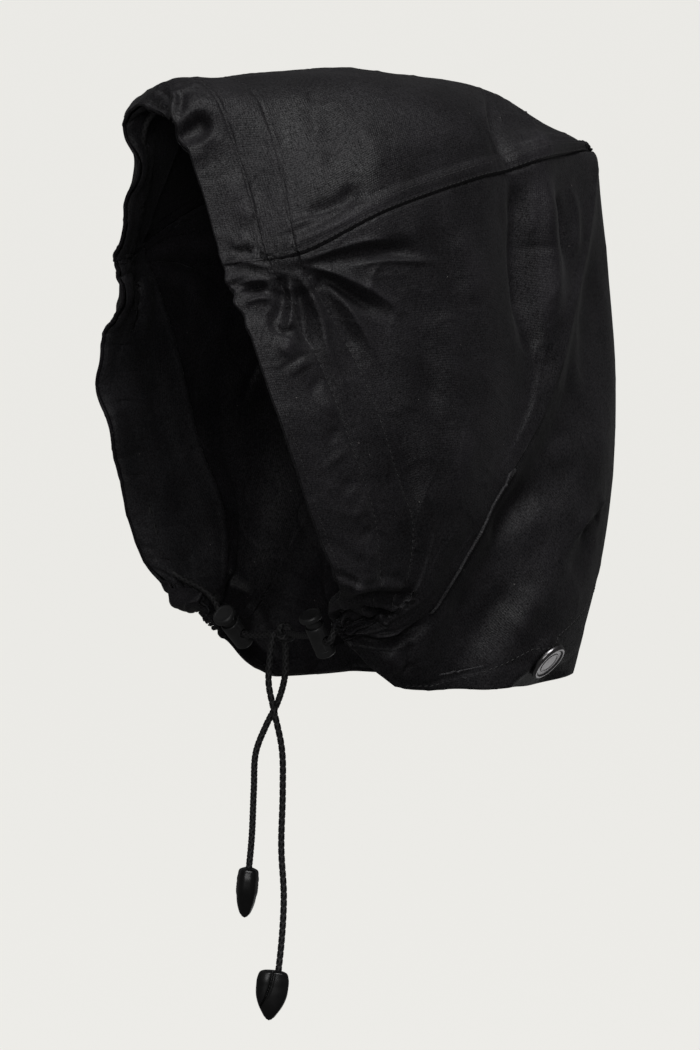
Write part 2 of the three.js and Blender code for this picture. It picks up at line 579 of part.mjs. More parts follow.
const lockBodies = LOCKS.map((lock) => ({ side: lock.side, ...lockParts(lock) }));
for (const body of lockBodies) {
  add(`lock_barrel_${body.side}`, body.barrel, PLASTIC, 0.45);
  add(`lock_plunger_${body.side}`, body.plunger, PLASTIC, 0.45);
}

// The knot is a tight lump of two crossing turns of cord.
function knotSolid(radius, spread) {
  const turn = (tiltX, tiltZ, size) => {
    const ring = new THREE.TorusGeometry(size, radius, 5, 11).rotateX(tiltX).rotateZ(tiltZ);
    return toManifold(mergedCorners(ring.translate(KNOT.x, KNOT.y, KNOT.z)));
  };
  const core = new THREE.IcosahedronGeometry(spread, 1).translate(KNOT.x, KNOT.y, KNOT.z);
  return turn(0.5, 0.9, 3.4).add(turn(1.75, 0.2, 3.3)).add(toManifold(mergedCorners(core)));
}
const knotKeepOut = knotSolid(CORD_RADIUS + 0.35, 3.6);
add('cord_knot', fromManifold(knotSolid(CORD_RADIUS, 3)), CORD, 0.8);

// Drawcord: from the knot through one lock, round the casing, through the other lock, back to the knot.
const cordDrop = WALL + 0.7 + CORD_RADIUS;
const casingRun = roundFace(CASING_LINES[1]).map(({ point, normal }) => point.addScaledVector(normal, -cordDrop));
function bridge(lock, mouth, after) {
  const inSide = lock.centre.clone().addScaledVector(lock.cordWay, -7 * Math.sign(lock.centre.x));
  const outSide = lock.centre.clone().addScaledVector(lock.cordWay, 7 * Math.sign(lock.centre.x));
  const leave = mouth.clone().sub(after).normalize();
  const halfway = KNOT.clone().lerp(inSide, 0.55).add(new THREE.Vector3(0, 0, -0.5));
  const start = KNOT.clone().add(new THREE.Vector3(3 * Math.sign(lock.centre.x), 0, 0));
  const points = [start, halfway, inSide, lock.centre, outSide, mouth.clone().addScaledVector(leave, 3)];
  return new THREE.CatmullRomCurve3(points, false, 'centripetal').getPoints(11);
}
const lastRun = casingRun.length - 1;
const leftBridge = bridge(lockBodies[0], casingRun[0], casingRun[1]);
const rightBridge = bridge(lockBodies[1], casingRun[lastRun], casingRun[lastRun - 1]);
const drawcordPoints = [...leftBridge, ...casingRun, ...rightBridge.reverse()];
const drawcord = toManifold(cordGeometry(drawcordPoints, CORD_RADIUS, 5)).subtract(knotKeepOut);
add('drawcord', fromManifold(drawcord), CORD, 0.8);

// Tails: how far each point hangs across the view and how high it is, from knot to cord end. Aside is how far
// the cord end sits beside its cord.
const TAILS = [
  { side: 'left', depth: 2.4, aside: -2.2, start: [53.6, -274], rows: [[51.6, -288], [51.1, -299], [53.6, -312],
    [57.5, -331], [57.9, -352], [57.2, -379], [58.4, -402.5], [57.5, -422.5], [55.3, -443.7]] },
  { side: 'right', depth: -1.8, aside: 0, start: [58.6, -276], rows: [[59.2, -283], [58.9, -296], [55.6, -308],
    [49.7, -320], [44.8, -333], [43.8, -351], [42.8, -374], [41, -393.6]] },
];
const base = KNOT.clone().setZ(0).dot(TOWARD);
function hang(across, height, depth) {
  return ACROSS.clone().multiplyScalar(across).addScaledVector(TOWARD, base + depth).setZ(height);
}

// Cord ends: flat drops, rows of [height share, half width, half thickness].
const DROP_LENGTH = 24;
const DROP_ROWS = [[0, 5.2, 3.4], [0.05, 6.6, 4.2], [0.15, 7.6, 4.8], [0.35, 7.9, 5], [0.55, 7.4, 4.9], [0.75, 5.6, 4.2],
  [0.9, 3.4, 3], [1, 1.9, 1.8]];
function dropSolid(top, down, wide, aside) {
  const thick = down.clone().cross(wide).normalize();
  const sides = 12;
  const positions = [];
  const triangles = [];
  for (const [share, halfWidth, halfThickness] of DROP_ROWS) {
    for (let k = 0; k < sides; k += 1) {
      const turn = (2 * Math.PI * k) / sides;
      const point = top.clone().addScaledVector(down, share * DROP_LENGTH);
      point.addScaledVector(wide, aside + halfWidth * Math.cos(turn));
      point.addScaledVector(thick, halfThickness * Math.sin(turn));
      positions.push(...point.toArray());
    }
  }
  for (let i = 0; i < DROP_ROWS.length - 1; i += 1) {
    for (let k = 0; k < sides; k += 1) {
      const a = i * sides + k;
      const b = i * sides + ((k + 1) % sides);
      triangles.push(a, b, b + sides, a, b + sides, a + sides);
    }
  }
  const end = (DROP_ROWS.length - 1) * sides;
  for (let k = 1; k < sides - 1; k += 1) triangles.push(0, k + 1, k, end, end + k, end + k + 1);
  const geometry = new THREE.BufferGeometry();
  geometry.setAttribute('position', new THREE.Float32BufferAttribute(positions, 3));
  geometry.setIndex(triangles);
  if (signedVolume(geometry) < 0) reverseFaces(geometry);
  const bore = placed(turned([[0, -1], [1.9, -1], [1.9, 5], [0, 5]], 8), top, down);
  return fromManifold(toManifold(geometry).subtract(toManifold(bore)));
}

for (const tail of TAILS) {
  const first = hang(tail.start[0], tail.start[1], 0);
  const points = [first, ...tail.rows.map(([across, height]) => hang(across, height, tail.depth))];
  const run = new THREE.CatmullRomCurve3(points, false, 'centripetal').getPoints(26);
  const tip = points[points.length - 1];
  const down = tip.clone().sub(points[points.length - 2]).normalize();
  const solid = toManifold(cordGeometry(run, CORD_RADIUS, 5)).subtract(knotKeepOut);
  add(`cord_tail_${tail.side}`, fromManifold(solid), CORD, 0.8);
  const wide = (tail.side === 'left' ? ACROSS : TOWARD).clone();
  wide.addScaledVector(down, -wide.dot(down)).normalize();
  const top = tip.clone().addScaledVector(down, -4.6);
  add(`cord_end_${tail.side}`, dropSolid(top, down, wide, tail.aside), PLASTIC, 0.4);
}

export default hood;
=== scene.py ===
import bmesh
import bpy
import math
import numpy as np
from mathutils import Matrix, Vector, noise


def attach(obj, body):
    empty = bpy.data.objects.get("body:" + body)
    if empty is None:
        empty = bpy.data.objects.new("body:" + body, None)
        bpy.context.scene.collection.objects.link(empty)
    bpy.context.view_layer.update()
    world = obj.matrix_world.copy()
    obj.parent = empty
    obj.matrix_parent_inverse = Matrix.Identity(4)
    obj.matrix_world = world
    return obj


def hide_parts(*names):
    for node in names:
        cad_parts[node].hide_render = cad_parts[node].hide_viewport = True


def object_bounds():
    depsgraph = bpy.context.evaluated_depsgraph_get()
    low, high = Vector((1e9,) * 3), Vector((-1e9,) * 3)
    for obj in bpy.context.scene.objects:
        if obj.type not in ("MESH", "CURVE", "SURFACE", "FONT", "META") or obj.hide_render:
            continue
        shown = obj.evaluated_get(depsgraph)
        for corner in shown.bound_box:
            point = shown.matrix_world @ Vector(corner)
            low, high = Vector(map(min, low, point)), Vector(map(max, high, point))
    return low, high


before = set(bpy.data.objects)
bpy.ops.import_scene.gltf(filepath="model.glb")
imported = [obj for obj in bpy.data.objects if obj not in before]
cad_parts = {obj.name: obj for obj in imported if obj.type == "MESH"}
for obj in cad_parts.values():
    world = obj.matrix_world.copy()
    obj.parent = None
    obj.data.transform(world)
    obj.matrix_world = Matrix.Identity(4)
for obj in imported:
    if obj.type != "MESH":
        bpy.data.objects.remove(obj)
cad_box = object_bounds()

# Storm hood. Lengths below are millimetres, written from the front plane and the crown's top;
# row() moves them to the frame's origin, the inner crown, and to metres.
SEAT = np.array([0.0, 98.0, -2.1])
WALL = 1.6
CORD_RADIUS = 1.5
STUD_RADIUS = 10.4


def row(points):
    return (np.asarray(points, float) - SEAT) / 1000.0


# Camera: the photograph's angle, with a long lens.
AZIMUTH, ELEVATION = math.radians(57.0), math.radians(3.0)
PIXELS_PER_MM, DISTANCE = 2.05, 5000.0
ca, sa, ce, se = math.cos(AZIMUTH), math.sin(AZIMUTH), math.cos(ELEVATION), math.sin(ELEVATION)
RIGHT = np.array([ca, sa, 0.0])
UP = np.array([-sa * se, ca * se, ce])
BACK = np.array([sa * ce, -ca * ce, se])
# Pixels of the picture's middle, its height, and the pixel of the point (0, 0, 0).
MIDDLE_X, MIDDLE_Y, PICTURE_HEIGHT = 350, 525, 1050.0
START_X, START_Y = 164.2, 74.7
SENSOR = 36.0
AIM = RIGHT * ((MIDDLE_X - START_X) / PIXELS_PER_MM) + UP * ((START_Y - MIDDLE_Y) / PIXELS_PER_MM)
AIM = AIM + BACK * (BACK @ np.array([0.0, 110.0, -150.0]))

cam_data = bpy.data.cameras.new("camera")
cam_data.sensor_fit = "AUTO"
cam_data.sensor_width = SENSOR
cam_data.lens = PIXELS_PER_MM * DISTANCE * SENSOR / PICTURE_HEIGHT
cam_data.clip_start, cam_data.clip_end = 0.1, 200.0
camera = bpy.data.objects.new("camera", cam_data)
bpy.context.scene.collection.objects.link(camera)
camera.matrix_world = Matrix(np.column_stack([RIGHT, UP, BACK]).tolist()).to_4x4()
camera.location = Vector(row(AIM + BACK * DISTANCE))
bpy.context.scene.camera = camera


def picture(points):
    away = np.asarray(points, float) - AIM
    scale = PIXELS_PER_MM * DISTANCE / (DISTANCE - away @ BACK)
    return np.stack([MIDDLE_X + scale * (away @ RIGHT), MIDDLE_Y - scale * (away @ UP)], -1)


# Places along a section, from the lower edge up to the middle of the crown.
ALONG = {
    "chin": 0.0, "jaw": 0.13, "lowCheek": 0.26, "cheek": 0.41, "temple": 0.6, "upper": 0.8, "seam": 1.0,
    "shoulder": 1.22, "brow": 1.34, "crown": 1.45,
}
SECTIONS = [
    {"name": "edge", "v": 0.0, "chin": (57, 60, -257), "jaw": (85, 47, -249),
     "lowCheek": (87, 33, -220), "cheek": (86.5, 18.5, -182), "temple": (76, 8.5, -141),
     "upper": (62, 5.5, -113), "seam": (51.5, 2.3, -94), "shoulder": (34, -1.5, -51),
     "brow": (25.5, -7.5, -26), "crown": (0, -10.5, -17)},
    {"name": "roll", "v": 0.06, "chin": (58, 60.8, -262.5), "jaw": (84, 60, -251.5),
     "lowCheek": (88, 52, -222), "cheek": (88.5, 39, -185), "temple": (79.5, 26, -141.5),
     "upper": (67, 18.5, -111), "seam": (58.5, 12.5, -92), "shoulder": (37, 9, -46),
     "brow": (25.5, 3, -17), "crown": (0, 3.5, -6.5)},
    {"name": "stitch", "v": 0.16, "chin": (58.6, 62, -267.5), "jaw": (79, 84, -254),
     "lowCheek": (87, 88, -222), "cheek": (89, 75, -186), "temple": (83, 58, -140),
     "upper": (76, 42, -108), "seam": (72, 31, -88), "shoulder": (48, 35, -41), "brow": (29, 35, -12),
     "crown": (0, 36, -4)},
    {"name": "side", "v": 0.33, "chin": (59, 63.5, -270), "jaw": (79, 89, -258),
     "lowCheek": (88, 100, -226), "cheek": (91, 97, -192), "temple": (88, 90, -142),
     "upper": (84, 84, -100), "seam": (80, 80, -66.5), "shoulder": (57, 90, -20),
     "brow": (31, 94, -4.5), "crown": (0, 98, -0.5)},
    {"name": "rear", "v": 0.48, "chin": (59, 64.5, -271.5), "jaw": (77, 93, -262),
     "lowCheek": (86, 110, -231), "cheek": (89, 119, -198), "temple": (84, 132, -150),
     "upper": (78, 136, -103), "seam": (69, 138, -52.5), "shoulder": (46, 150, -19),
     "brow": (24, 153, -9.5), "crown": (0, 155, -6)},
    {"name": "valley", "v": 0.58, "chin": (59, 65.5, -273), "jaw": (75, 96, -265),
     "lowCheek": (82, 115, -235), "cheek": (83, 132, -202), "temple": (67, 164, -157),
     "upper": (60, 167, -107), "seam": (57, 161, -50), "shoulder": (33, 173, -26),
     "brow": (18, 182, -16.5), "crown": (0, 190, -11.5)},
    {"name": "flare", "v": 0.68, "chin": (58.5, 66.3, -274.3), "jaw": (73.5, 97.5, -266.5),
     "lowCheek": (80, 118, -237), "cheek": (80, 138, -204), "temple": (66.5, 173, -161),
     "upper": (57, 187.4, -112), "seam": (42, 200, -43), "shoulder": (22, 218.5, -33),
     "brow": (11, 224, -31.5), "crown": (0, 226, -31)},
    {"name": "ridge", "v": 0.78, "chin": (58, 67.2, -275.6), "jaw": (72, 99, -268),
     "lowCheek": (78, 121, -239), "cheek": (77, 143, -206), "temple": (66, 179, -164),
     "upper": (53, 204.4, -115), "seam": (0, 250.2, -42.0), "shoulder": (0, 250.2, -42.0),
     "brow": (0, 250.2, -42.0), "crown": (0, 250.2, -42.0)},
    {"name": "back", "v": 0.86, "chin": (60, 75, -283), "jaw": (70, 104, -280),
     "lowCheek": (76, 128, -262), "cheek": (77, 152, -238), "temple": (67, 190, -208),
     "upper": (43, 231, -168), "seam": (0, 258.5, -128)},
    {"name": "nape", "v": 0.93, "chin": (60.5, 86, -293), "jaw": (67, 110, -290),
     "lowCheek": (73, 134, -284), "cheek": (75, 157, -274), "temple": (68, 192, -257),
     "upper": (40, 231, -232), "seam": (0, 254, -208)},
    {"name": "hem", "v": 1.0, "chin": (57.8, 96.7, -300), "jaw": (64, 117, -301),
     "lowCheek": (70, 138, -301), "cheek": (73, 158, -300.5), "temple": (68, 183, -301),
     "upper": (46, 208, -296.5), "seam": (0, 227, -293)},
]
RIDGE_ROW = 7
RIDGE_V = 0.78
LINE_ONE, LINE_TWO = 0.1, 0.16


def hermite(knots, values, t, crease=None):
    """Smooth curve through values at knots; a crease breaks the slope there."""
    knots, values, t = np.asarray(knots, float), np.asarray(values, float), np.asarray(t, float)
    gaps = np.diff(knots)
    shape = (-1,) + (1,) * (values.ndim - 1)
    slopes = (values[1:] - values[:-1]) / gaps.reshape(shape)
    left, right = np.empty_like(values), np.empty_like(values)
    left[0] = right[0] = slopes[0]
    left[-1] = right[-1] = slopes[-1]
    for i in range(1, len(knots) - 1):
        if i == crease:
            left[i], right[i] = slopes[i - 1], slopes[i]
        else:
            left[i] = right[i] = (slopes[i] * gaps[i - 1] + slopes[i - 1] * gaps[i]) / (gaps[i - 1] + gaps[i])
    t = np.clip(t, knots[0], knots[-1])
    k = np.clip(np.searchsorted(knots, t, side="right") - 1, 0, len(knots) - 2)
    spread = (slice(None),) + (None,) * (values.ndim - 1)
    s, h = ((t - knots[k]) / gaps[k])[spread], gaps[k][spread]
    return ((2 * s**3 - 3 * s**2 + 1) * values[k] + (s**3 - 2 * s**2 + s) * h * right[k]
            + (3 * s**2 - 2 * s**3) * values[k + 1] + (s**3 - s**2) * h * left[k + 1])


def plain(along, v, crown):
    """The plain surface of the left half on a grid, v by along."""
    rows = SECTIONS[:RIDGE_ROW + 1] if crown else SECTIONS
    built = []
    for section in rows:
        full = "crown" in section and section["name"] != "ridge"
        names = [n for n in ALONG if full or ALONG[n] <= 1]
        knots = [ALONG[n] for n in names]
        points = [section[n] for n in names]
        back = points[-2]
        knots.append(2 * knots[-1] - knots[-2])
        points.append((-back[0], back[1], back[2]))
        place = np.ones_like(along) if crown and section["name"] == "ridge" else along
        built.append(hermite(knots, points, place))
    knots = [section["v"] for section in rows]
    grid = hermite(knots, np.stack(built), v, RIDGE_ROW)
    # The seam rises a little just before its back end.
    grid[..., 2] += 0.7 * bell(v, 0.748, 0.022)[:, None] * bell(along, 1, 0.16)
    return grid


def unit(vectors):
    return vectors / np.maximum(np.linalg.norm(vectors, axis=-1, keepdims=True), 1e-9)


def grid_normals(grid):
    down = np.gradient(grid, axis=0)
    across = np.gradient(grid, axis=1)
    return unit(np.cross(down, across))


def smooth01(x, low, high):
    t = np.clip((x - low) / (high - low), 0, 1)
    return t * t * (3 - 2 * t)


def bell(x, middle, width):
    return np.exp(-((x - middle) / width) ** 2)


def waves(run, pitch, turn=0.0):
    return np.sin(run * 2 * np.pi / pitch + turn)


# Where a mark of the photograph lies on the plain surface of the near side.
look_grids = (plain(np.linspace(0, 1, 220), np.linspace(0, 1, 260), False),
              plain(np.linspace(1, 1.45, 90), np.linspace(0, RIDGE_V - 0.01, 220), True))
look_points = np.concatenate([grid.reshape(-1, 3) for grid in look_grids])
look_facing = np.concatenate([grid_normals(grid).reshape(-1, 3) for grid in look_grids])
look_points = look_points[look_facing @ BACK > 0.02]
look_picture = picture(look_points)


def lift(pixel):
    away = np.hypot(*(look_picture - np.asarray(pixel, float)).T)
    close = away < max(away.min() + 0.8, 1.6)
    depth = np.where(close, look_points @ BACK, -1e9)
    return look_points[np.argmax(depth)]


def smooth_path(points, steps):
    points = np.asarray(points, float)
    if len(points) == 2:
        return np.linspace(points[0], points[1], steps)
    knots = np.arange(len(points))
    return hermite(knots, points, np.linspace(0, len(points) - 1, steps))


# Folds of the near side, traced on the photograph: kind, width and depth in mm, then pixels.
TRACED_FOLDS = [
    ("dent", 6.0, -7.2, [(190, 131), (197, 128), (203, 124)]),
    ("sharp", 1.7, 2.2, [(192, 109), (204, 109), (213, 118), (213, 132), (206, 142), (194, 146)]),
    ("round", 3.4, -5.2, [(140, 118), (152, 120), (166, 116)]),
    ("sharp", 1.7, 3.4, [(134, 110), (146, 113), (158, 110), (168, 111)]),
    ("round", 4.0, -2.2, [(140, 100), (152, 100), (160, 98)]),
    ("round", 2.6, -3.4, [(158, 86), (167, 91), (170, 100)]),
    ("sharp", 1.7, 3.4, [(158, 82), (168, 88), (174, 98), (172, 108), (172, 118)]),
    ("round", 3.0, -2.4, [(182, 88), (180, 100), (178, 112)]),
    ("sharp", 2.2, 1.4, [(150, 80), (158, 78), (166, 80)]),
    ("round", 4.4, -1.4, [(312, 80), (314, 117), (318, 150)]),
    ("round", 5.0, -1.3, [(318, 150), (322, 166)]),
    ("round", 4.6, -3.6, [(300, 214), (322, 209), (342, 203), (352, 192), (353, 180)]),
    ("sharp", 2.4, 1.5, [(263, 238), (280, 230), (297, 223), (322, 214), (347, 208), (380, 209)]),
    ("round", 8.5, 1.1, [(352, 122), (368, 148), (378, 180)]),
    ("round", 5.5, -0.9, [(343, 130), (356, 154), (360, 176)]),
    ("sharp", 2.4, 1.2, [(288, 246), (310, 236), (338, 224), (356, 214)]),
    ("round", 4.0, 1.2, [(262, 118), (274, 150), (280, 176)]),
    ("round", 6.0, -1.2, [(244, 176), (258, 190), (268, 210)]),
    ("round", 5.0, 1.2, [(236, 208), (246, 214), (256, 216)]),
    ("round", 6.0, 1.3, [(222, 176), (232, 190), (238, 204)]),
    ("round", 4.6, -4.0, [(487, 86), (494, 117), (503, 147), (511, 172)]),
    ("sharp", 2.6, 1.4, [(477, 88), (484, 118), (494, 146), (502, 168)]),
    ("round", 6.5, -5.5, [(511, 172), (517, 205), (519, 245), (521, 290), (530, 335)]),
    ("round", 7.0, -2.4, [(519, 283), (524, 323), (537, 364)]),
    ("round", 5.5, 1.6, [(530, 138), (536, 146)]),
    ("sharp", 2.8, 2.2, [(514, 104), (528, 116), (540, 136), (546, 156)]),
    ("round", 5.0, 1.8, [(541, 182), (541, 212), (545, 250), (548, 290), (550, 335)]),
    ("round", 11.0, 5.5, [(543, 165), (544, 220), (550, 280), (553, 345)]),
    ("sharp", 2.2, 1.5, [(531, 188), (530, 214), (528, 240)]),
    ("round", 4.2, -3.2, [(554, 190), (560, 222), (562, 262)]),
    ("round", 4.5, 2.2, [(572, 184), (576, 222), (573, 262)]),
    ("round", 1.8, -0.9, [(524, 249), (536, 250), (547, 249)]),
    ("round", 5.4, -5.2, [(298, 266), (326, 260), (363, 254), (398, 252), (426, 254)]),
    ("sharp", 2.4, 2.8, [(300, 261), (332, 250), (366, 242), (398, 240)]),
    ("sharp", 2.0, 2.4, [(352, 266), (380, 262), (406, 261), (436, 262)]),
    ("round", 3.6, -4.4, [(302, 270), (330, 283), (357, 299), (388, 315)]),
    ("sharp", 2.4, 2.6, [(306, 267), (336, 274), (368, 290), (402, 312)]),
    ("round", 3.6, -4.2, [(291, 276), (301, 300), (306, 327), (312, 352)]),
    ("sharp", 2.4, 3.0, [(298, 274), (313, 296), (322, 322), (328, 350), (344, 384)]),
    ("round", 3.6, -3.0, [(310, 275), (332, 304), (348, 332), (362, 362)]),
    ("sharp", 2.4, 2.0, [(319, 277), (344, 302), (364, 332), (378, 362)]),
    ("round", 3.4, -3.8, [(281, 272), (283, 288), (282, 306), (276, 322)]),
    ("sharp", 2.2, 3.2, [(286, 276), (292, 296), (292, 318), (284, 338)]),
    ("round", 4.6, 3.2, [(293, 336), (286, 347), (279, 354)]),
    ("sharp", 2.2, -2.4, [(270, 316), (281, 330), (290, 328)]),
    ("sharp", 2.0, 2.2, [(240, 283), (252, 280), (268, 280)]),
    ("sharp", 2.2, -2.8, [(240, 291), (254, 288), (270, 287)]),
    ("sharp", 2.0, 2.0, [(232, 262), (250, 262), (266, 268)]),
    ("sharp", 2.2, -2.4, [(228, 250), (246, 250), (262, 258)]),
    ("sharp", 2.2, 2.2, [(246, 304), (258, 298), (272, 298)]),
    ("round", 3.2, 1.7, [(228, 246), (240, 242), (250, 236)]),
    ("round", 6.5, 1.5, [(298, 360), (305, 370)]),
    ("round", 6.5, 1.1, [(322, 412), (334, 400)]),
    ("round", 6.5, 1.0, [(332, 456), (338, 464)]),
    ("round", 6.5, 1.0, [(356, 506), (362, 512)]),
    ("round", 6.5, 1.0, [(368, 556), (375, 562)]),
    ("round", 4.5, 1.8, [(356, 584), (362, 590)]),
    ("round", 4.6, -1.4, [(312, 382), (322, 390)]),
    ("round", 4.6, -1.3, [(330, 430), (338, 442)]),
    ("round", 4.6, -1.2, [(344, 480), (352, 492)]),
    ("round", 4.6, -1.2, [(362, 530), (369, 540)]),
    ("round", 8.0, 1.8, [(520, 552), (538, 530), (564, 515), (592, 508)]),
    ("round", 7.0, -3.8, [(500, 546), (511, 524), (528, 502), (549, 484)]),
    ("round", 8.0, -2.6, [(598, 535), (586, 552), (572, 580)]),
    ("round", 6.0, 1.8, [(556, 462), (572, 452), (590, 446)]),
    ("round", 7.5, -3.4, [(522, 588), (508, 606), (492, 628), (474, 660)]),
    ("round", 6.5, 2.4, [(545, 590), (528, 614), (512, 640)]),
    ("sharp", 2.4, 2.8, [(606, 496), (596, 506), (584, 522), (574, 545)]),
    ("sharp", 2.4, -2.4, [(606, 508), (594, 520), (584, 540)]),
    ("sharp", 1.8, 3.6, [(352, 604), (338, 608), (330, 618), (331, 630), (341, 638), (357, 640)]),
    ("sharp", 1.7, -3.8, [(351, 609), (341, 613), (336, 622), (339, 632), (349, 636)]),
    ("sharp", 1.7, 3.6, [(347, 614), (342, 621), (344, 630), (350, 632), (354, 626), (352, 617)]),
    ("sharp", 1.6, -3.4, [(348, 619), (348, 627)]),
    ("sharp", 1.9, 3.6, [(352, 610), (366, 612), (380, 618), (396, 628)]),
    ("sharp", 1.8, -3.8, [(358, 616), (372, 620), (386, 628)]),
    ("sharp", 1.9, 3.8, [(356, 604), (376, 604), (392, 608), (404, 612)]),
    ("sharp", 1.8, -3.8, [(366, 608), (382, 611), (398, 618)]),
    ("sharp", 1.8, 3.2, [(357, 633), (374, 634), (392, 632), (412, 626)]),
    ("round", 3.0, -4.6, [(432, 620), (412, 633), (388, 641), (364, 642), (350, 640)]),
    ("round", 4.0, 1.6, [(410, 588), (392, 588), (368, 584), (350, 584)]),
    ("round", 3.0, -3.4, [(418, 600), (396, 597), (372, 597), (350, 599)]),
    ("round", 6.0, 2.8, [(384, 652), (396, 662), (402, 674)]),
    ("sharp", 2.4, -2.4, [(412, 640), (409, 658), (404, 682)]),
    ("round", 4.0, -3.6, [(350, 648), (366, 664), (384, 680)]),
    ("round", 9.0, 1.9, [(440, 300), (455, 350), (462, 400)]),
    ("round", 8.0, -1.9, [(418, 320), (428, 370), (436, 420)]),
    ("round", 8.0, 1.7, [(470, 420), (460, 470), (440, 520)]),
    ("round", 7.0, -1.8, [(398, 420), (408, 470), (414, 520)]),
    ("round", 5.0, 1.3, [(425, 480), (424, 520), (418, 570)]),
    ("round", 6.0, 1.6, [(585, 300), (588, 350), (584, 400)]),
    ("round", 9.0, 1.8, [(455, 230), (470, 270), (478, 310)]),
    ("round", 8.0, -1.6, [(440, 220), (452, 262), (460, 300)]),
    ("sharp", 2.2, 1.0, [(384, 262), (372, 276), (366, 300)]),
]

# Folds of the far half, in places along the section and from front to back.
FAR_FOLDS = [
    ("round", 12.0, 9.0, [(0.05, 0.0), (0.06, 0.05), (0.085, 0.12)]),
    ("round", 12.0, 7.0, [(0.06, 0.87), (0.14, 0.86)]),
    ("round", 8.0, 4.0, [(0.08, 0.3), (0.17, 0.36)]),
    ("round", 5.5, -3.2, [(0.955, 0.15), (0.915, 0.265), (0.86, 0.375)]),
    ("sharp", 2.8, 2.0, [(0.98, 0.17), (0.95, 0.26), (0.9, 0.37)]),
    ("round", 4.5, -2.8, [(0.93, 0.15), (0.85, 0.2), (0.78, 0.26), (0.7, 0.3)]),
    ("sharp", 2.8, 2.0, [(0.93, 0.17), (0.86, 0.24), (0.79, 0.31)]),
    ("round", 4.4, -2.8, [(0.9, 0.138), (0.8, 0.118), (0.7, 0.103), (0.62, 0.1)]),
    ("sharp", 2.8, 2.2, [(0.88, 0.12), (0.78, 0.09), (0.66, 0.07)]),
    ("round", 6.0, -2.6, [(1.37, 0.557), (1.216, 0.557), (1.07, 0.576), (0.99, 0.589)]),
    ("round", 6.5, -3.0, [(0.973, 0.587), (0.9, 0.59), (0.8, 0.568), (0.653, 0.628)]),
    ("round", 5.5, 2.6, [(0.965, 0.645), (0.915, 0.647), (0.819, 0.661), (0.69, 0.675)]),
    ("sharp", 3.2, 2.8, [(0.722, 0.876), (0.591, 0.85), (0.483, 0.831), (0.413, 0.826)]),
    ("round", 6.0, -2.2, [(0.6, 0.82), (0.529, 0.808), (0.444, 0.806), (0.371, 0.799)]),
    ("round", 7.5, -2.4, [(0.417, 0.89), (0.328, 0.9), (0.243, 0.931)]),
    ("round", 7.0, 1.6, [(1.2, 0.284), (1.136, 0.301), (1.064, 0.311)]),
    ("sharp", 2.6, 1.8, [(0.0, 0.22), (0.14, 0.2)]),
    ("sharp", 2.6, 1.8, [(0.0, 0.46), (0.14, 0.44)]),
    ("sharp", 2.6, 1.8, [(0.0, 0.7), (0.12, 0.66)]),
    ("sharp", 3.0, -2.2, [(1.4, 0.0), (1.41, 0.09)]),
    ("sharp", 3.4, 2.0, [(1.34, 0.0), (1.36, 0.07)]),
    ("round", 9.0, -1.6, [(0.55, 0.4), (0.7, 0.47), (0.8, 0.45)]),
    ("sharp", 3.0, 1.6, [(0.5, 0.36), (0.62, 0.42), (0.74, 0.5)]),
]

fold_paths = []
for kind, width, depth, pixels in TRACED_FOLDS:
    lifted = np.array([lift(pixel) for pixel in pixels])
    fold_paths.append((kind, width, depth, smooth_path(lifted, 6 * (len(pixels) - 1) + 1)))
for kind, width, depth, places in FAR_FOLDS:
    path = np.array([plain(np.array([a]), np.array([v]), a > 1)[0, 0] for a, v in places])
    fold_paths.append((kind, width, depth, smooth_path(path * [-1, 1, 1], 6 * (len(places) - 1) + 1)))


def fold_depth(points):
    """Sum of all folds at points, an N by 3 array."""
    total = np.zeros(len(points))
    for kind, width, depth, path in fold_paths:
        low, high = path.min(0) - 3.2 * width, path.max(0) + 3.2 * width
        near = np.flatnonzero(np.all((points > low) & (points < high), axis=1))
        if not len(near):
            continue
        here = points[near][:, None, :]
        start, step = path[:-1][None], np.diff(path, axis=0)[None]
        length2 = np.maximum((step**2).sum(-1), 1e-9)
        t = np.clip(((here - start) * step).sum(-1) / length2, 0, 1)
        away = np.linalg.norm(here - (start + step * t[..., None]), axis=-1)
        best = away.argmin(1)
        rows = np.arange(len(near))
        reach = away[rows, best] / width
        place = (best + t[rows, best]) / (len(path) - 1)
        taper = 0.2 + 0.8 * smooth01(place, 0, 0.3) * (1 - smooth01(place, 0.7, 1))
        if kind == "dent":
            taper, shape = 1.0, np.exp(-reach**3)
        elif kind == "sharp":
            shape = np.exp(-(np.sqrt(reach**2 + 0.06) - 0.245) * 1.7)
            shape *= np.exp(-(reach / 2.2) ** 4)
        else:
            shape = np.exp(-reach**2)
        total[near] += depth * taper * shape
    return total


def sampled_noise(points, scale, seed):
    """Smooth noise of about plus or minus one at points given in mm."""
    shift = Vector((seed * 7.3, seed * 3.1, seed * 5.7))
    return 1.6 * np.array([noise.noise(Vector(point) + shift) for point in (points / scale).tolist()])


def arc(grid, axis):
    """Distance travelled along one direction of a grid."""
    steps = np.linalg.norm(np.diff(grid, axis=axis), axis=-1)
    total = np.cumsum(steps, axis=axis)
    shape = list(total.shape)
    shape[axis] = 1
    return np.concatenate([np.zeros(shape), total], axis=axis)


def blend_noise(grid, scale, seed, stride=3):
    """Noise on a grid, worked out on every third line and filled in between."""
    rows, columns = grid.shape[:2]
    ri = np.unique(np.append(np.arange(0, rows, stride), rows - 1))
    ci = np.unique(np.append(np.arange(0, columns, stride), columns - 1))
    coarse = sampled_noise(grid[np.ix_(ri, ci)].reshape(-1, 3), scale, seed).reshape(len(ri), len(ci))
    full = np.stack([np.interp(np.arange(columns), ci, line) for line in coarse])
    return np.stack([np.interp(np.arange(rows), ri, full[:, j]) for j in range(columns)], axis=1)


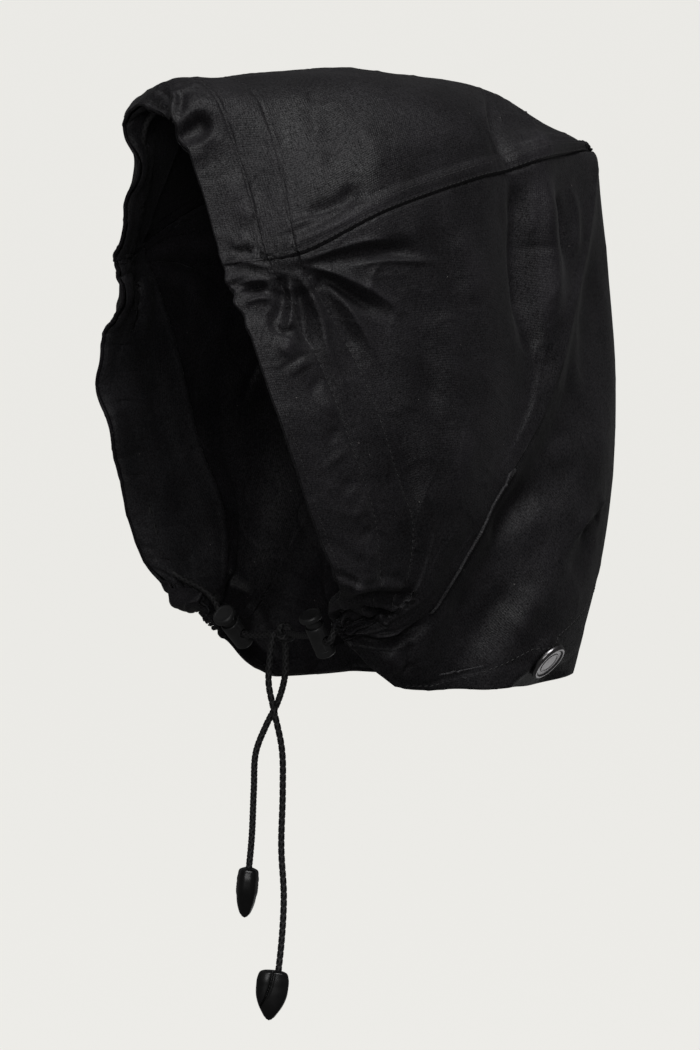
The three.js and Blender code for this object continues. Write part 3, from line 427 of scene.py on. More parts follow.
STUD_NORMAL = unit(np.array([0.669, 0.361, -0.649]))
stud_base = plain(np.array([0.539, 0.541, 0.543]), np.array([0.973, 0.975, 0.977]), False)
STUD_CENTRE = stud_base[1, 1] - 2.5 * grid_normals(stud_base)[1, 1]


def flattened(points, sign):
    """Brings the cloth around the snap stud to the stud's plane. What stands above it moves in level."""
    centre, normal = STUD_CENTRE * [sign, 1, 1], STUD_NORMAL * [sign, 1, 1]
    height = (points - centre) @ normal
    radius = np.linalg.norm(points - centre - height[..., None] * normal, axis=-1)
    above = height > 0
    inner = STUD_RADIUS + np.where(above, 0.8, -2.0)
    outer = STUD_RADIUS + np.where(above, 30.0, 3.0)
    share = 1 - smooth01((radius - inner) / (outer - inner), 0.0, 1.0)
    under_cap = 1 - smooth01(radius, STUD_RADIUS, STUD_RADIUS + 4.0)
    share = share * np.maximum(smooth01(np.abs(height), 0.0, 5.0), under_cap)
    level = unit(normal * [1, 1, 0])
    away = np.where(above[..., None], level / (level @ normal), normal)
    return points - (height * share)[..., None] * away


SEAM_RUN = float(arc(plain(np.linspace(0, 1, 200), np.array([0.05, 0.06]), False), 1)[0, -1])


# How strongly the casing is gathered along the section: share, middle and width of each stretch.
GATHERS = {
    "near": {"least": 0.07, "rows": [(0.95, 0.9, 0.12), (0.6, 0.08, 0.12), (0.9, 1.45, 0.09)]},
    "far": {"least": 0.22, "rows": [(0.9, 0.05, 0.1), (0.5, 0.9, 0.12)]},
}
SEAM_STITCHES = (1.7, 7.4)
HEM_PLACES = [0, 0.12, 0.19, 0.31, 0.41, 0.475, 0.645, 1]
HEM_STITCHES = [0.98, 0.984, 0.976, 0.962, 0.957, 0.955, 0.955, 0.955]


def hem_line(a):
    """How far back the hem's stitched line lies, by place along the section."""
    return np.interp(a, HEM_PLACES, HEM_STITCHES)


def behind_casing(w):
    return 0.35 + 0.65 * smooth01(w, LINE_ONE, LINE_TWO + 0.05)


def casing_gathers(base, a, w, run, warp, far):
    """Waves of the drawn casing along the face edge, which die out behind the second stitched line."""
    place = run + 7.0 * warp
    wave = waves(place, 13.5, far * 1.3) + 0.5 * waves(place, 7.9, 1.1)
    envelope = np.where(w < LINE_ONE, 0.75 + 0.35 * np.sin(np.pi * w / LINE_ONE), 0.62)
    envelope = np.where(w >= LINE_TWO, 0.55 * np.exp(-(np.abs(w - LINE_TWO) / 0.05) ** 1.2), envelope)
    table = GATHERS["far" if far else "near"]
    strength = table["least"] + sum(share * bell(a, middle, width) for share, middle, width in table["rows"])
    patchy = 0.75 + 0.5 * blend_noise(base, 40.0, 4)
    return 1.05 * wave * envelope * strength * patchy


def long_crease(base, a, w, v, sign):
    """The long back crease, which folds over the plane behind it."""
    reach = smooth01(a, 0.1, 0.26) * (1 - smooth01(a, 0.84, 0.97)) * (1.0 if sign > 0 else 0.5)
    behind = 100.0 * np.sign(w - RIDGE_V)
    if v[0] < RIDGE_V < v[-1]:
        down = arc(base, 0)
        behind = down - np.array([np.interp(RIDGE_V, v, line) for line in down.T])
    lip = 1.1 * np.clip(1 + behind / 8.0, 0, 1)
    fall = 1.1 - 0.9 * smooth01(behind, 0.0, 1.5) - 8.0 * smooth01(behind, 0.0, 24.0)
    fall = fall + 7.8 * smooth01(behind, 26.0, 74.0)
    return np.where(behind <= 0, lip, fall) * reach


def crown_edge(base, w, warp):
    """The crown's turned edge along the seam, with small puckers and two stitched lines."""
    from_seam, down = arc(base, 1), arc(base, 0)
    tip = smooth01(RIDGE_V - w, 0.0, 0.05)
    lap = (1 - smooth01(from_seam, 8.2, 9.6)) * (0.35 + 0.65 * smooth01(from_seam, 0.0, 0.7))
    amount = tip * 1.2 * lap * behind_casing(w)
    amount = amount + 0.1 * waves(down, 5.3, 2 * warp) * bell(from_seam, 4.5, 6.0)
    for line in SEAM_STITCHES:
        amount = amount - 0.3 * bell(from_seam, line, 0.8) * tip
    return amount


def side_edges(base, amount, a, w, warp):
    """The side panel's sunk seam edge, its calmer back edge, the hem and the flap's turned front edge."""
    whole, down = arc(base, 1), arc(base, 0)
    from_seam = whole[:, -1:] - whole
    amount = amount + 0.14 * waves(down, 6.1, 2 * warp) * bell(from_seam, 0, 7.0)
    amount = amount - 0.8 * bell(from_seam, 0, 1.4) * behind_casing(w)
    calm = 0.15 + 0.85 * smooth01(from_seam, 0, 26.0)
    amount = np.where(w >= RIDGE_V, amount * calm, amount)
    line_down = (1 - hem_line(a)) * 290.0
    gap = np.abs(down[-1:] - down - np.maximum(line_down, 4.0))
    amount = amount - 0.45 * bell(gap, 0, 1.2) * (a > 0.05)
    return amount - 1.6 * bell(a, 0, 0.03) * smooth01(w, 0.8, 0.86)


def dressed(along, v, sign, crown):
    """The outer skin with its folds, gathers, seams and fine unevenness, and how raised it is."""
    half = plain(along, v, crown)
    base, normal = half * [sign, 1, 1], grid_normals(half) * [sign, 1, 1]
    a, w = np.meshgrid(along, v)
    far = 1.0 if sign < 0 else 0.0
    run = arc(plain(along, np.array([0.05, 0.06]), crown), 1)[:1] + (SEAM_RUN if crown else 0.0)
    warp = blend_noise(base, 24.0, 1 + far)
    amount = fold_depth(base.reshape(-1, 3)).reshape(a.shape)
    amount = amount + casing_gathers(base, a, w, run, warp, far)
    if sign < 0:
        # The far edge rolls inwards by an amount that wanders along it.
        wander = waves(run, 83.0, 0.7) + 0.6 * waves(run, 37.0, 2.0)
        ends = smooth01(a, 0.2, 0.4) * (1 - smooth01(a, 1.25, 1.42))
        amount = amount - (4.4 + 3.2 * wander) * bell(w, 0, 0.03) * ends
    if not crown:
        # Bundle at the casing end: pleats that fan out of its mouth.
        fan = bell(a, 0, 0.1) * (w < RIDGE_V + 0.06)
        amount = amount + 1.3 * fan * np.sin(w * 46.0 + 2.2 * warp)
    # Fine crumple of waxed cloth.
    amount = amount + 0.75 * blend_noise(base, 38.0, 7) + 0.3 * blend_noise(base, 13.0, 9)
    amount = amount + 0.28 * bell(blend_noise(base, 19.0, 11, 2), 0, 0.09)
    if not crown:
        amount = amount + long_crease(base, a, w, v, sign)
    # Stitched lines pull the cloth in, with small puckers.
    for line in (LINE_ONE, LINE_TWO):
        gap = np.abs(w - line) * (260.0 if crown else 235.0)
        amount = amount - 0.5 * bell(gap, 0, 0.7) + 0.1 * waves(run, 3.4) * bell(gap, 0, 2.0)
    if crown:
        amount = amount + crown_edge(base, w, warp)
    else:
        amount = side_edges(base, amount, a, w, warp)
    points = base + amount[..., None] * normal
    if sign > 0 and len(v) > 20:
        # The gathered edge swells forward between its tucks.
        swell = (1.1 + 1.5 * waves(run, 13.0, 2.2)) * bell(a, 0.86, 0.13) * bell(w, 0, 0.035)
        points += unit(base[:1] - base[3:4]) * swell[..., None]
    ending = smooth01(v, RIDGE_V - 0.03, RIDGE_V - 0.002)
    if crown:
        # The crown's turned edge laps a little way over the side panel, and the last row turns down.
        over = (smooth01(v, 0.03, 0.14) * (1 - 0.5 * ending))[:, None]
        points[:, 0] += unit(base[:, 0] - base[:, 3]) * 0.9 * over
        points[-1] += [0.0, 0.1, -1.2]
        return points, amount
    # The seam's allowance runs on under the crown.
    under = ((1 - 0.6 * ending) * (v < RIDGE_V))[:, None]
    onward = unit(base[:, -1] - base[:, -4])
    points[:, -1] += (onward * 2.4 - normal[:, -1] * 0.7) * under
    return np.where((w > 0.85)[..., None], flattened(points, sign), points), amount


def both_rims(count, low, high, fine, start=True, end=True):
    """Lines from low to high with a few close together at the rims."""
    lines = np.linspace(low, high, count)
    extra = np.array([0.12, 0.4, 0.9]) * fine
    parts = [lines]
    if start:
        parts.append(low + extra)
    if end:
        parts.append(high - extra)
    return np.unique(np.round(np.concatenate(parts), 6))


def new_mesh(name, vertices, faces, uv=None, shade=None):
    """Vertices are in the frame's metres; faces is an array of quads or of triangles."""
    mesh = bpy.data.meshes.new(name)
    faces = np.asarray(faces, dtype=np.int32)
    size = faces.shape[1]
    mesh.vertices.add(len(vertices))
    mesh.vertices.foreach_set("co", np.asarray(vertices, np.float32).ravel())
    mesh.loops.add(faces.size)
    mesh.loops.foreach_set("vertex_index", faces.ravel())
    mesh.polygons.add(len(faces))
    mesh.polygons.foreach_set("loop_start", np.arange(0, faces.size, size, dtype=np.int32))
    mesh.polygons.foreach_set("use_smooth", np.ones(len(faces), bool))
    mesh.update(calc_edges=True)
    if uv is not None:
        layer = mesh.uv_layers.new(name="cloth")
        layer.data.foreach_set("uv", np.asarray(uv, np.float32)[faces.ravel()].ravel())
    if shade is not None:
        attribute = mesh.attributes.new("raised", "FLOAT", "POINT")
        attribute.data.foreach_set("value", np.asarray(shade, np.float32))
    mesh.validate()
    item = bpy.data.objects.new(name, mesh)
    bpy.context.scene.collection.objects.link(item)
    return item


def rim_drop(gap, radius):
    """How far the skin falls away near a rounded rim, at a distance gap from it."""
    inside = np.clip(radius - gap, 0, radius)
    return radius - np.sqrt(np.maximum(radius**2 - inside**2, 0))


def cloth(name, grid, wall, raised, drop=0.0, offset=(0.0, 0.0)):
    """Closed cloth that lies the drop below an outer grid: both skins and rounded rims."""
    rows, columns = grid.shape[:2]
    normal = grid_normals(grid)
    across, down = arc(grid, 1), arc(grid, 0)
    to_rim = np.min([across, across[:, -1:] - across, down, down[-1:] - down], axis=0)
    fall = rim_drop(to_rim, wall * 0.46)
    outer = grid - normal * (drop + fall)[..., None]
    inner = grid - normal * (drop + wall - fall)[..., None]
    index = np.arange(rows * columns).reshape(rows, columns)
    other = index + rows * columns
    corners = [
        (index[:-1, :-1], index[1:, :-1], index[1:, 1:], index[:-1, 1:]),
        (other[:-1, :-1], other[:-1, 1:], other[1:, 1:], other[1:, :-1]),
        (index[:-1, 0], other[:-1, 0], other[1:, 0], index[1:, 0]),
        (index[:-1, -1], index[1:, -1], other[1:, -1], other[:-1, -1]),
        (index[0, :-1], index[0, 1:], other[0, 1:], other[0, :-1]),
        (index[-1, :-1], other[-1, :-1], other[-1, 1:], index[-1, 1:]),
    ]
    faces = np.concatenate([np.stack(four, -1).reshape(-1, 4) for four in corners])
    uv = np.stack([across + offset[0], down + offset[1]], -1).reshape(-1, 2) / 1000.0
    vertices = np.concatenate([outer.reshape(-1, 3), inner.reshape(-1, 3)])
    shade = np.concatenate([raised.ravel(), -raised.ravel()])
    return new_mesh(name, row(vertices), faces, np.concatenate([uv, uv]), shade)


def ring_faces(count, sides):
    """Triangles between rings of points, closed at each end by a point that follows the rings."""
    ring = np.arange(sides)
    after = (ring + 1) % sides
    faces = []
    for i in range(count - 1):
        a, b = i * sides, (i + 1) * sides
        faces.append(np.stack([a + ring, a + after, b + after], -1))
        faces.append(np.stack([a + ring, b + after, b + ring], -1))
    first, last, end = count * sides, count * sides + 1, (count - 1) * sides
    faces.append(np.stack([np.full(sides, first), after, ring], -1))
    faces.append(np.stack([np.full(sides, last), end + ring, end + after], -1))
    return np.concatenate(faces)


BRAID_PITCH, STRANDS = 3.6, 4


def tube(name, points, radius, sides, braid=0.0):
    """A round cord through points; braid raises a plaited pattern of that height."""
    points = np.asarray(points, float)
    tangent = unit(np.gradient(points, axis=0))
    length = arc(points, 0)
    up = np.array([0.2, 0.1, 1.0])
    rings = []
    turn = np.linspace(0, 2 * np.pi, sides, endpoint=False)
    for point, direction, gone in zip(points, tangent, length):
        up = unit(up - direction * (up @ direction))
        side = np.cross(direction, up)
        lean = gone * 2 * np.pi / BRAID_PITCH
        strands = np.maximum(np.cos(turn * STRANDS + lean), np.cos(turn * STRANDS - lean))
        out = radius + braid * (strands - 0.5)
        rings.append(point + np.outer(np.cos(turn) * out, up) + np.outer(np.sin(turn) * out, side))
    vertices = np.concatenate(rings + [points[:1], points[-1:]])
    count = len(points)
    uv = np.zeros((len(vertices), 2))
    uv[:count * sides, 0] = np.tile(np.arange(sides) / sides, count)
    uv[:count * sides, 1] = np.repeat(length, sides) / 10.0
    return new_mesh(name, row(vertices), ring_faces(count, sides), uv)


def turned(profile, segments):
    """Vertices and faces of a body turned about Z from a closed profile of (radius, height)."""
    profile = np.asarray(profile, float)
    turn = np.linspace(0, 2 * np.pi, segments, endpoint=False)
    vertices = np.stack([
        np.outer(np.cos(turn), profile[:, 0]), np.outer(np.sin(turn), profile[:, 0]),
        np.broadcast_to(profile[:, 1], (segments, len(profile))),
    ], -1).reshape(-1, 3)
    count = len(profile)
    faces = []
    for k in range(segments):
        for i in range(count):
            j = (i + 1) % count
            n = (k + 1) % segments
            if profile[i, 0] < 1e-6 and profile[j, 0] < 1e-6:
                continue
            faces.append((k * count + i, n * count + i, n * count + j, k * count + j))
    return vertices, np.array(faces)


def tidy(item, distance=0.00001):
    work = bmesh.new()
    work.from_mesh(item.data)
    bmesh.ops.remove_doubles(work, verts=work.verts, dist=distance)
    bmesh.ops.dissolve_degenerate(work, edges=work.edges, dist=distance / 4)
    bmesh.ops.recalc_face_normals(work, faces=work.faces)
    work.to_mesh(item.data)
    work.free()
    return item


def rounded_profile(corners, radius=0.25, steps=3):
    """Rounds the corners of a profile that are away from the axis."""
    corners = [np.asarray(c, float) for c in corners]
    out = []
    for i, corner in enumerate(corners):
        before, after = corners[i - 1], corners[(i + 1) % len(corners)]
        if corner[0] < 1e-6:
            out.append(corner)
            continue
        to_before, to_after = before - corner, after - corner
        cut = min(radius, 0.45 * np.linalg.norm(to_before), 0.45 * np.linalg.norm(to_after))
        start = corner + unit(to_before) * cut
        end = corner + unit(to_after) * cut
        for s in np.linspace(0, 1, steps + 1):
            out.append((1 - s) ** 2 * start + 2 * s * (1 - s) * corner + s**2 * end)
    return out


def frame_to(direction, hint=(0, 0, 1)):
    z = unit(np.asarray(direction, float))
    x = np.asarray(hint, float) - z * (np.asarray(hint, float) @ z)
    if np.linalg.norm(x) < 1e-3:
        x = np.array([1.0, 0, 0]) - z * z[0]
    x = unit(x)
    return np.stack([x, np.cross(z, x), z])


def place(vertices, origin, axes):
    return np.asarray(vertices) @ axes + origin


# Materials.
class Shading:
    """A material's nodes. An input given as a socket is linked, and anything else is set."""

    def __init__(self, name):
        self.material = bpy.data.materials.new(name)
        self.material.use_nodes = True
        self.tree = self.material.node_tree
        self.shader = self.tree.nodes["Principled BSDF"]
        self.place = self.add("TexCoord", {}, "Object")

    def give(self, node, inputs):
        for key, value in inputs.items():
            if isinstance(value, bpy.types.NodeSocket):
                self.tree.links.new(value, node.inputs[key])
            else:
                node.inputs[key].default_value = value

    def add(self, kind, inputs, output, **settings):
        node = self.tree.nodes.new("ShaderNode" + kind)
        for key, value in settings.items():
            setattr(node, key, value)
        self.give(node, inputs)
        return node.outputs[output]

    def noise(self, scale, detail, roughness=0.5):
        inputs = {"Vector": self.place, "Scale": scale, "Detail": detail, "Roughness": roughness}
        return self.add("TexNoise", inputs, "Fac")

    def maths(self, operation, *values):
        return self.add("Math", dict(enumerate(values)), "Value", operation=operation)

    def ranged(self, value, low, high, to_low, to_high):
        inputs = {"Value": value, "From Min": low, "From Max": high, "To Min": to_low, "To Max": to_high}
        return self.add("MapRange", inputs, "Result")

    def ramp(self, value, low, dark, high, light):
        colour = self.add("ValToRGB", {"Fac": value}, "Color")
        first, last = colour.node.color_ramp.elements[0], colour.node.color_ramp.elements[1]
        first.position, first.color = low, (*dark, 1)
        last.position, last.color = high, (*light, 1)
        return colour

    def mixed(self, factor, under, over, blend="MIX"):
        inputs = {"Factor": factor, "A": under, "B": over}
        return self.add("Mix", inputs, "Result", data_type="RGBA", blend_type=blend)

    def bump(self, height, strength, distance, **more):
        inputs = {"Height": height, "Strength": strength, "Distance": distance, **more}
        return self.add("Bump", inputs, "Normal")


def cloth_material(name, dark, light, roughness):
    look = Shading(name)
    uv = look.add("UVMap", {}, "UV", uv_map="cloth")
    # Slow change of tone, as wax wears off unevenly, with a fine speckle.
    broad, fine = look.noise(28.0, 5.0, 0.6), look.noise(1150.0, 3.0, 0.7)
    tone = look.ramp(broad, 0.32, dark, 0.72, light)
    tone = look.mixed(0.5, tone, look.ranged(fine, 0.3, 0.7, 0.1, 2.2), "MULTIPLY")
    # Raised folds are painted paler: a painted highlight on the ridges, with wax rubbed off them.
    raised = look.add("Attribute", {}, "Fac", attribute_name="raised")
    ridge_highlight_and_rub = look.maths("MULTIPLY", look.ranged(raised, 0.8, 3.2, 0.0, 0.55), broad)
    tone = look.mixed(ridge_highlight_and_rub, tone, (light[0] * 2.1, light[1] * 2.05, light[2] * 2.1, 1))
    # Small pale specks of lint.
    cells = {"Vector": look.place, "Scale": 170.0, "Randomness": 1.0}
    lint = look.add("TexVoronoi", cells, "Distance", feature="F1")
    red = look.add("SeparateColor", {"Color": lint.node.outputs["Color"]}, "Red")
    dust = look.maths("MULTIPLY", look.maths("LESS_THAN", lint, 0.055), look.maths("LESS_THAN", red, 0.1))
    tone = look.mixed(dust, tone, (0.16, 0.15, 0.145, 1))
    # Weave: two crossed thread waves on the cloth's own directions.
    bands = {"Vector": uv, "Scale": 260.0, "Distortion": 1.6, "Detail": 2.0}
    threads = [look.add("TexWave", bands, "Fac", wave_type="BANDS", bands_direction=way) for way in "XY"]
    grain = look.maths("MULTIPLY_ADD", fine, 0.9, look.maths("MULTIPLY", *threads))
    weave = look.bump(grain, 0.42, 0.00022)
    # Waxy sheen, duller where the wax is rubbed.
    look.give(look.shader, {
        "Base Color": tone,
        "Roughness": look.ranged(broad, 0.3, 0.7, roughness - 0.07, roughness + 0.09),
        "Specular IOR Level": look.ranged(fine, 0.3, 0.7, 0.04, 0.56),
        "Sheen Weight": 0.04, "Sheen Roughness": 0.45,
        "Normal": look.bump(look.noise(260.0, 4.0), 0.35, 0.0006, Normal=weave),
    })
    return look.material


def hard_material(name, base, wear_and_strand_shade, roughness, metallic, scale=120.0):
    look = Shading(name)
    cloud = look.noise(scale, 5.0, 0.65)
    edges = look.ranged(look.add("NewGeometry", {}, "Pointiness"), 0.52, 0.62, 0.0, 0.6)
    pale = (wear_and_strand_shade[0] * 1.6, wear_and_strand_shade[1] * 1.6, wear_and_strand_shade[2] * 1.6, 1)
    look.give(look.shader, {
        "Base Color": look.mixed(edges, look.ramp(cloud, 0.4, base, 0.8, wear_and_strand_shade), pale),
        "Roughness": look.ranged(cloud, 0.3, 0.75, roughness, roughness + 0.14),
        "Metallic": metallic,
        "Normal": look.bump(look.noise(1500.0, 3.0), 0.12, 0.0001),
    })
    return look.material


def cord_material(name, dark, light):
    look = Shading(name)
    fibre = look.noise(2600.0, 4.0, 0.7)
    # Two sets of strands cross each other, four each way round and one turn in the braid's pitch.
    uv = look.add("UVMap", {}, "UV", uv_map="cloth")
    sets = []
    for lean in (1.745, -1.745):
        turned_uv = look.add("Mapping", {"Vector": uv, "Scale": (2.513, lean, 0.0)}, "Vector")
        bands = {"Vector": turned_uv, "Scale": 1.0, "Phase Offset": math.pi}
        sets.append(look.add("TexWave", bands, "Fac", bands_direction="DIAGONAL"))
    # Painted shade and painted highlight: the crossing strands are paler on their crowns and darker between
    # them, over the fibre's own uneven tone.
    wear_and_strand_shade = look.maths("MULTIPLY_ADD", fibre, 0.45, look.maths("MAXIMUM", *sets))
    look.give(look.shader, {
        "Base Color": look.ramp(look.maths("MULTIPLY", wear_and_strand_shade, 0.75), 0.5, dark, 0.75, light),
        "Roughness": 0.62, "Specular IOR Level": 0.5, "Sheen Weight": 0.02,
        "Normal": look.bump(fibre, 0.35, 0.0002),
    })
    return look.material


waxed = cloth_material("waxed_cloth", (0.0068, 0.0062, 0.0074), (0.0165, 0.0152, 0.0176), 0.56)
facing = cloth_material("facing_cloth", (0.014, 0.0134, 0.015), (0.028, 0.027, 0.030), 0.6)
thread = cord_material("sewing_thread", (0.010, 0.0095, 0.0105), (0.030, 0.029, 0.030))
cord_look = cord_material("braided_cord", (0.0025, 0.0025, 0.0028), (0.028, 0.027, 0.028))
plastic = hard_material("lock_plastic", (0.022, 0.022, 0.0225), (0.04, 0.04, 0.041), 0.36, 0.0)
drop_plastic = hard_material("cord_end_plastic", (0.006, 0.006, 0.0062), (0.013, 0.013, 0.013), 0.26, 0.0)
enamel = hard_material("snap_metal", (0.2, 0.195, 0.2), (0.34, 0.33, 0.335), 0.24, 1.0, 260.0)


def finish_piece(item, material, body, slot, *nodes):
    item.data.materials.clear()
    item.data.materials.append(material)
    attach(item, body)
    if nodes:
        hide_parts(*nodes)
    return item


# Cloth panels.
side_along = both_rims(205, 0.0, 1.0, 0.0045)
crease_v = RIDGE_V + np.array([-0.0035, 0.0, 0.0008, 0.0017, 0.0028, 0.0045, 0.0068])
near_line = np.array([-0.007, -0.0038, -0.0018, 0.0, 0.0018, 0.0038, 0.007])
line_v = np.concatenate([LINE_ONE + near_line, LINE_TWO + near_line])
side_v = np.unique(np.round(np.concatenate([both_rims(195, 0.0, 1.0, 0.0035), crease_v, line_v]), 6))
crown_along = both_rims(78, 1.0, 1.45, 0.0035, True, False)
crown_v = np.unique(np.round(np.concatenate([both_rims(166, 0.0, 0.7788, 0.0035, True, False), line_v]), 6))
kept = {}
for side, sign in (("left", 1), ("right", -1)):
    grid, raised = dressed(side_along, side_v, sign, False)
    middle = side_v >= RIDGE_V
    grid[middle, -1, 0] = sign * 0.12
    if sign < 0:
        # The right half's allowance runs on under the left half.
        grid[middle, -2, 0] = -0.12
        grid[middle, -1] = grid[middle, -2] + [1.7, -0.9, 0.0]
    kept[side] = grid
    if sign < 0:
        grid, raised = grid[:, ::-1], raised[:, ::-1]
    item = cloth(f"side_panel_{side}_cloth", grid, WALL, raised)
    finish_piece(item, waxed, "hood", "waxed_cloth", f"side_panel_{side}")

halves = {}
for sign in (1, -1):
    halves[sign] = dressed(crown_along, crown_v, sign, True)
left_grid, left_raised = halves[1]
right_grid, right_raised = halves[-1]
middle_line = (left_grid[:, -1] + right_grid[:, -1]) / 2
middle_line[:, 0] = 0
blend_columns = np.linspace(0, 1, 12) ** 2
for grid in (left_grid, right_grid):
    shift = middle_line - grid[:, -1]
    grid[:, -12:] += shift[:, None, :] * blend_columns[None, :, None]
crown_grid = np.concatenate([left_grid[:, :-1], right_grid[:, ::-1]], axis=1)
crown_raised = np.concatenate([left_raised[:, :-1], right_raised[:, ::-1]], axis=1)
item = cloth("crown_panel_cloth", crown_grid, WALL, crown_raised, offset=(0.4, 0.0))
finish_piece(item, waxed, "hood", "waxed_cloth", "crown_panel")


def along_run(values, run, places):
    """Values of a line at distances along it."""
    return np.stack([np.interp(places, run, column) for column in values.T], -1)


def line_on(grid, along, v, places):
    """Points of a grid at (along, v) places, by straight interpolation."""
    a, w = places.T
    j = np.clip(np.searchsorted(along, a) - 1, 0, len(along) - 2)
    i = np.clip(np.searchsorted(v, w) - 1, 0, len(v) - 2)
    s = ((a - along[j]) / (along[j + 1] - along[j]))[:, None]
    t = ((w - v[i]) / (v[i + 1] - v[i]))[:, None]
    top = grid[i, j] * (1 - s) + grid[i, j + 1] * s
    low = grid[i + 1, j] * (1 - s) + grid[i + 1, j + 1] * s
    return top * (1 - t) + low * t


stitch_vertices, stitch_faces = [], []
# A stitch's rings: place along its half length, and share of its radius.
STITCH_RINGS = [(-0.86, 0.55), (-0.4, 0.92), (0.4, 0.92), (0.86, 0.55)]
STITCH_SIDES = 6
STITCH_POINTS = len(STITCH_RINGS) * STITCH_SIDES + 2
STITCH_FACES = ring_faces(len(STITCH_RINGS), STITCH_SIDES)
EDGE_STITCH = (2.9, 1.9, 0.22)


def stitch_line(points, normals, pitch=3.1, length=2.1, radius=0.27, sink=0.12):
    """Short raised stitches along a line, each an elongated bead lying on the cloth."""
    run = arc(points, 0)
    if run[-1] < pitch:
        return
    places = np.arange(pitch * 0.5, run[-1] - pitch * 0.5, pitch)
    centres = along_run(points, run, places)
    upward = unit(along_run(normals, run, places))
    forward = unit(along_run(points, run, places + 0.6) - centres)
    forward = unit(forward + 0.13 * unit(np.cross(upward, forward)))
    across = unit(np.cross(upward, forward))
    turn = np.linspace(0, 2 * np.pi, STITCH_SIDES, endpoint=False)
    for centre, x, y, z in zip(centres, forward, across, upward):
        block = []
        for share, width in STITCH_RINGS:
            rise = np.sin(turn) * width * radius * 0.8 - sink - 0.25 * radius * share**2 + radius * 0.55
            ring = np.outer(np.cos(turn) * width * radius, y) + np.outer(rise, z)
            block.append(centre + x * share * length / 2 + ring)
        block.append([centre + x * end * length / 2 - z * sink for end in (-1, 1)])
        stitch_faces.append(STITCH_FACES + STITCH_POINTS * len(stitch_vertices))
        stitch_vertices.append(np.concatenate(block))


def level_places(line, low, high, count):
    return np.stack([np.linspace(low, high, count), np.full(count, line)], -1)


def stitch_at(grid, along, v, places, sign, *sizes):
    normals = unit(line_on(grid_normals(grid), along, v, places)) * sign
    stitch_line(line_on(grid, along, v, places), normals, *sizes)


for side, sign in (("left", 1), ("right", -1)):
    panel = (kept[side], side_along, side_v)
    half = left_grid if sign > 0 else right_grid
    top = (half, crown_along, crown_v)
    for line in (LINE_ONE, LINE_TWO):
        stitch_at(*panel, level_places(line, 0.06, 0.99, 220), sign)
        stitch_at(*top, level_places(line, 1.01, 1.449, 120), sign)
    stitch_at(*panel, level_places(0.012, 0.05, 0.99, 220), sign, *EDGE_STITCH)
    stitch_at(*top, level_places(0.012, 1.01, 1.449, 120), sign, *EDGE_STITCH)
    hem = np.linspace(0.04, 0.995, 220)
    stitch_at(*panel, np.stack([hem, hem_line(hem)], -1), sign)
    from_seam, half_normals = arc(half, 1), grid_normals(half) * sign
    for away in SEAM_STITCHES:
        rows = []
        for i in range(2, len(crown_v) - 6):
            if from_seam[i, -1] < away + 2:
                break
            rows.append((i, np.searchsorted(from_seam[i], away)))
        i, j = np.array(rows).T
        stitch_line(half[i, j], half_normals[i, j], 2.9, 1.9, 0.24, 0.16)

stitches = new_mesh("top_stitching", row(np.concatenate(stitch_vertices)), np.concatenate(stitch_faces))
finish_piece(stitches, thread, "hood", "waxed_cloth")

# Facings: the strip behind the face edge that makes the drawcord's tunnel, and the strip at the neck.
FACING_END = LINE_TWO + 0.006
face_v = np.concatenate([np.linspace(0.0015, FACING_END, 26), [LINE_ONE, LINE_TWO]])
face_v = np.unique(np.round(face_v, 6))
left_face, _ = dressed(side_along, face_v, 1, False)
right_face, _ = dressed(side_along, face_v, -1, False)
left_top, _ = dressed(crown_along, face_v, 1, True)
right_top, _ = dressed(crown_along, face_v, -1, True)
for grid in (left_top, right_top):
    centre_line = (left_top[:, -1] + right_top[:, -1]) / 2
    centre_line[:, 0] = 0
    grid[:, -12:] += (centre_line - grid[:, -1])[:, None, :] * blend_columns[None, :, None]
near_strip, far_strip = [left_face[:, :-1], left_top[:, :-1]], [right_top[:, ::-1], right_face[:, -2::-1]]
face_grid = np.concatenate(near_strip + far_strip, axis=1)
face_run = arc(face_grid, 1)
tunnel = np.clip(face_v / LINE_ONE, 0, 1)
bulge = 4.6 * np.sin(np.pi * tunnel) ** 0.8 * (face_v <= LINE_ONE)
crimp = blend_noise(face_grid, 23.0, 21)
small = blend_noise(face_grid, 9.0, 22)
puffed = bulge[:, None] * (0.8 + 0.3 * crimp)
edge_fade = np.sin(np.pi * np.clip(face_v / FACING_END, 0, 1))[:, None] ** 0.5
gather = 0.35 * small + 0.25 * waves(face_run, 6.3, 3.0 * crimp)
drops = WALL + 0.12 + puffed + np.maximum(gather + 0.45, 0.0) * edge_fade
item = cloth("face_facing_cloth", face_grid, 1.1, -gather, drop=drops, offset=(0.0, 0.3))
finish_piece(item, facing, "hood", "facing_cloth", "face_facing")

hem_v = np.unique(np.round(np.concatenate([np.linspace(0.955, 0.9985, 16), [0.957]]), 6))
hem_along = side_along[side_along > 0.03]
left_hem, _ = dressed(hem_along, hem_v, 1, False)
right_hem, _ = dressed(hem_along, hem_v, -1, False)
left_hem[:, -1, 0] = right_hem[:, -1, 0] = 0
hem_grid = np.concatenate([left_hem[:, :-1], right_hem[:, ::-1]], axis=1)
hem_crimp = 0.35 * blend_noise(hem_grid, 12.0, 23) + 0.3
item = cloth("neck_facing_cloth", hem_grid, 1.1, hem_crimp * 0, drop=WALL + 0.05 + np.maximum(hem_crimp, 0),
             offset=(0.0, 0.6))
finish_piece(item, facing, "hood", "facing_cloth", "neck_facing")

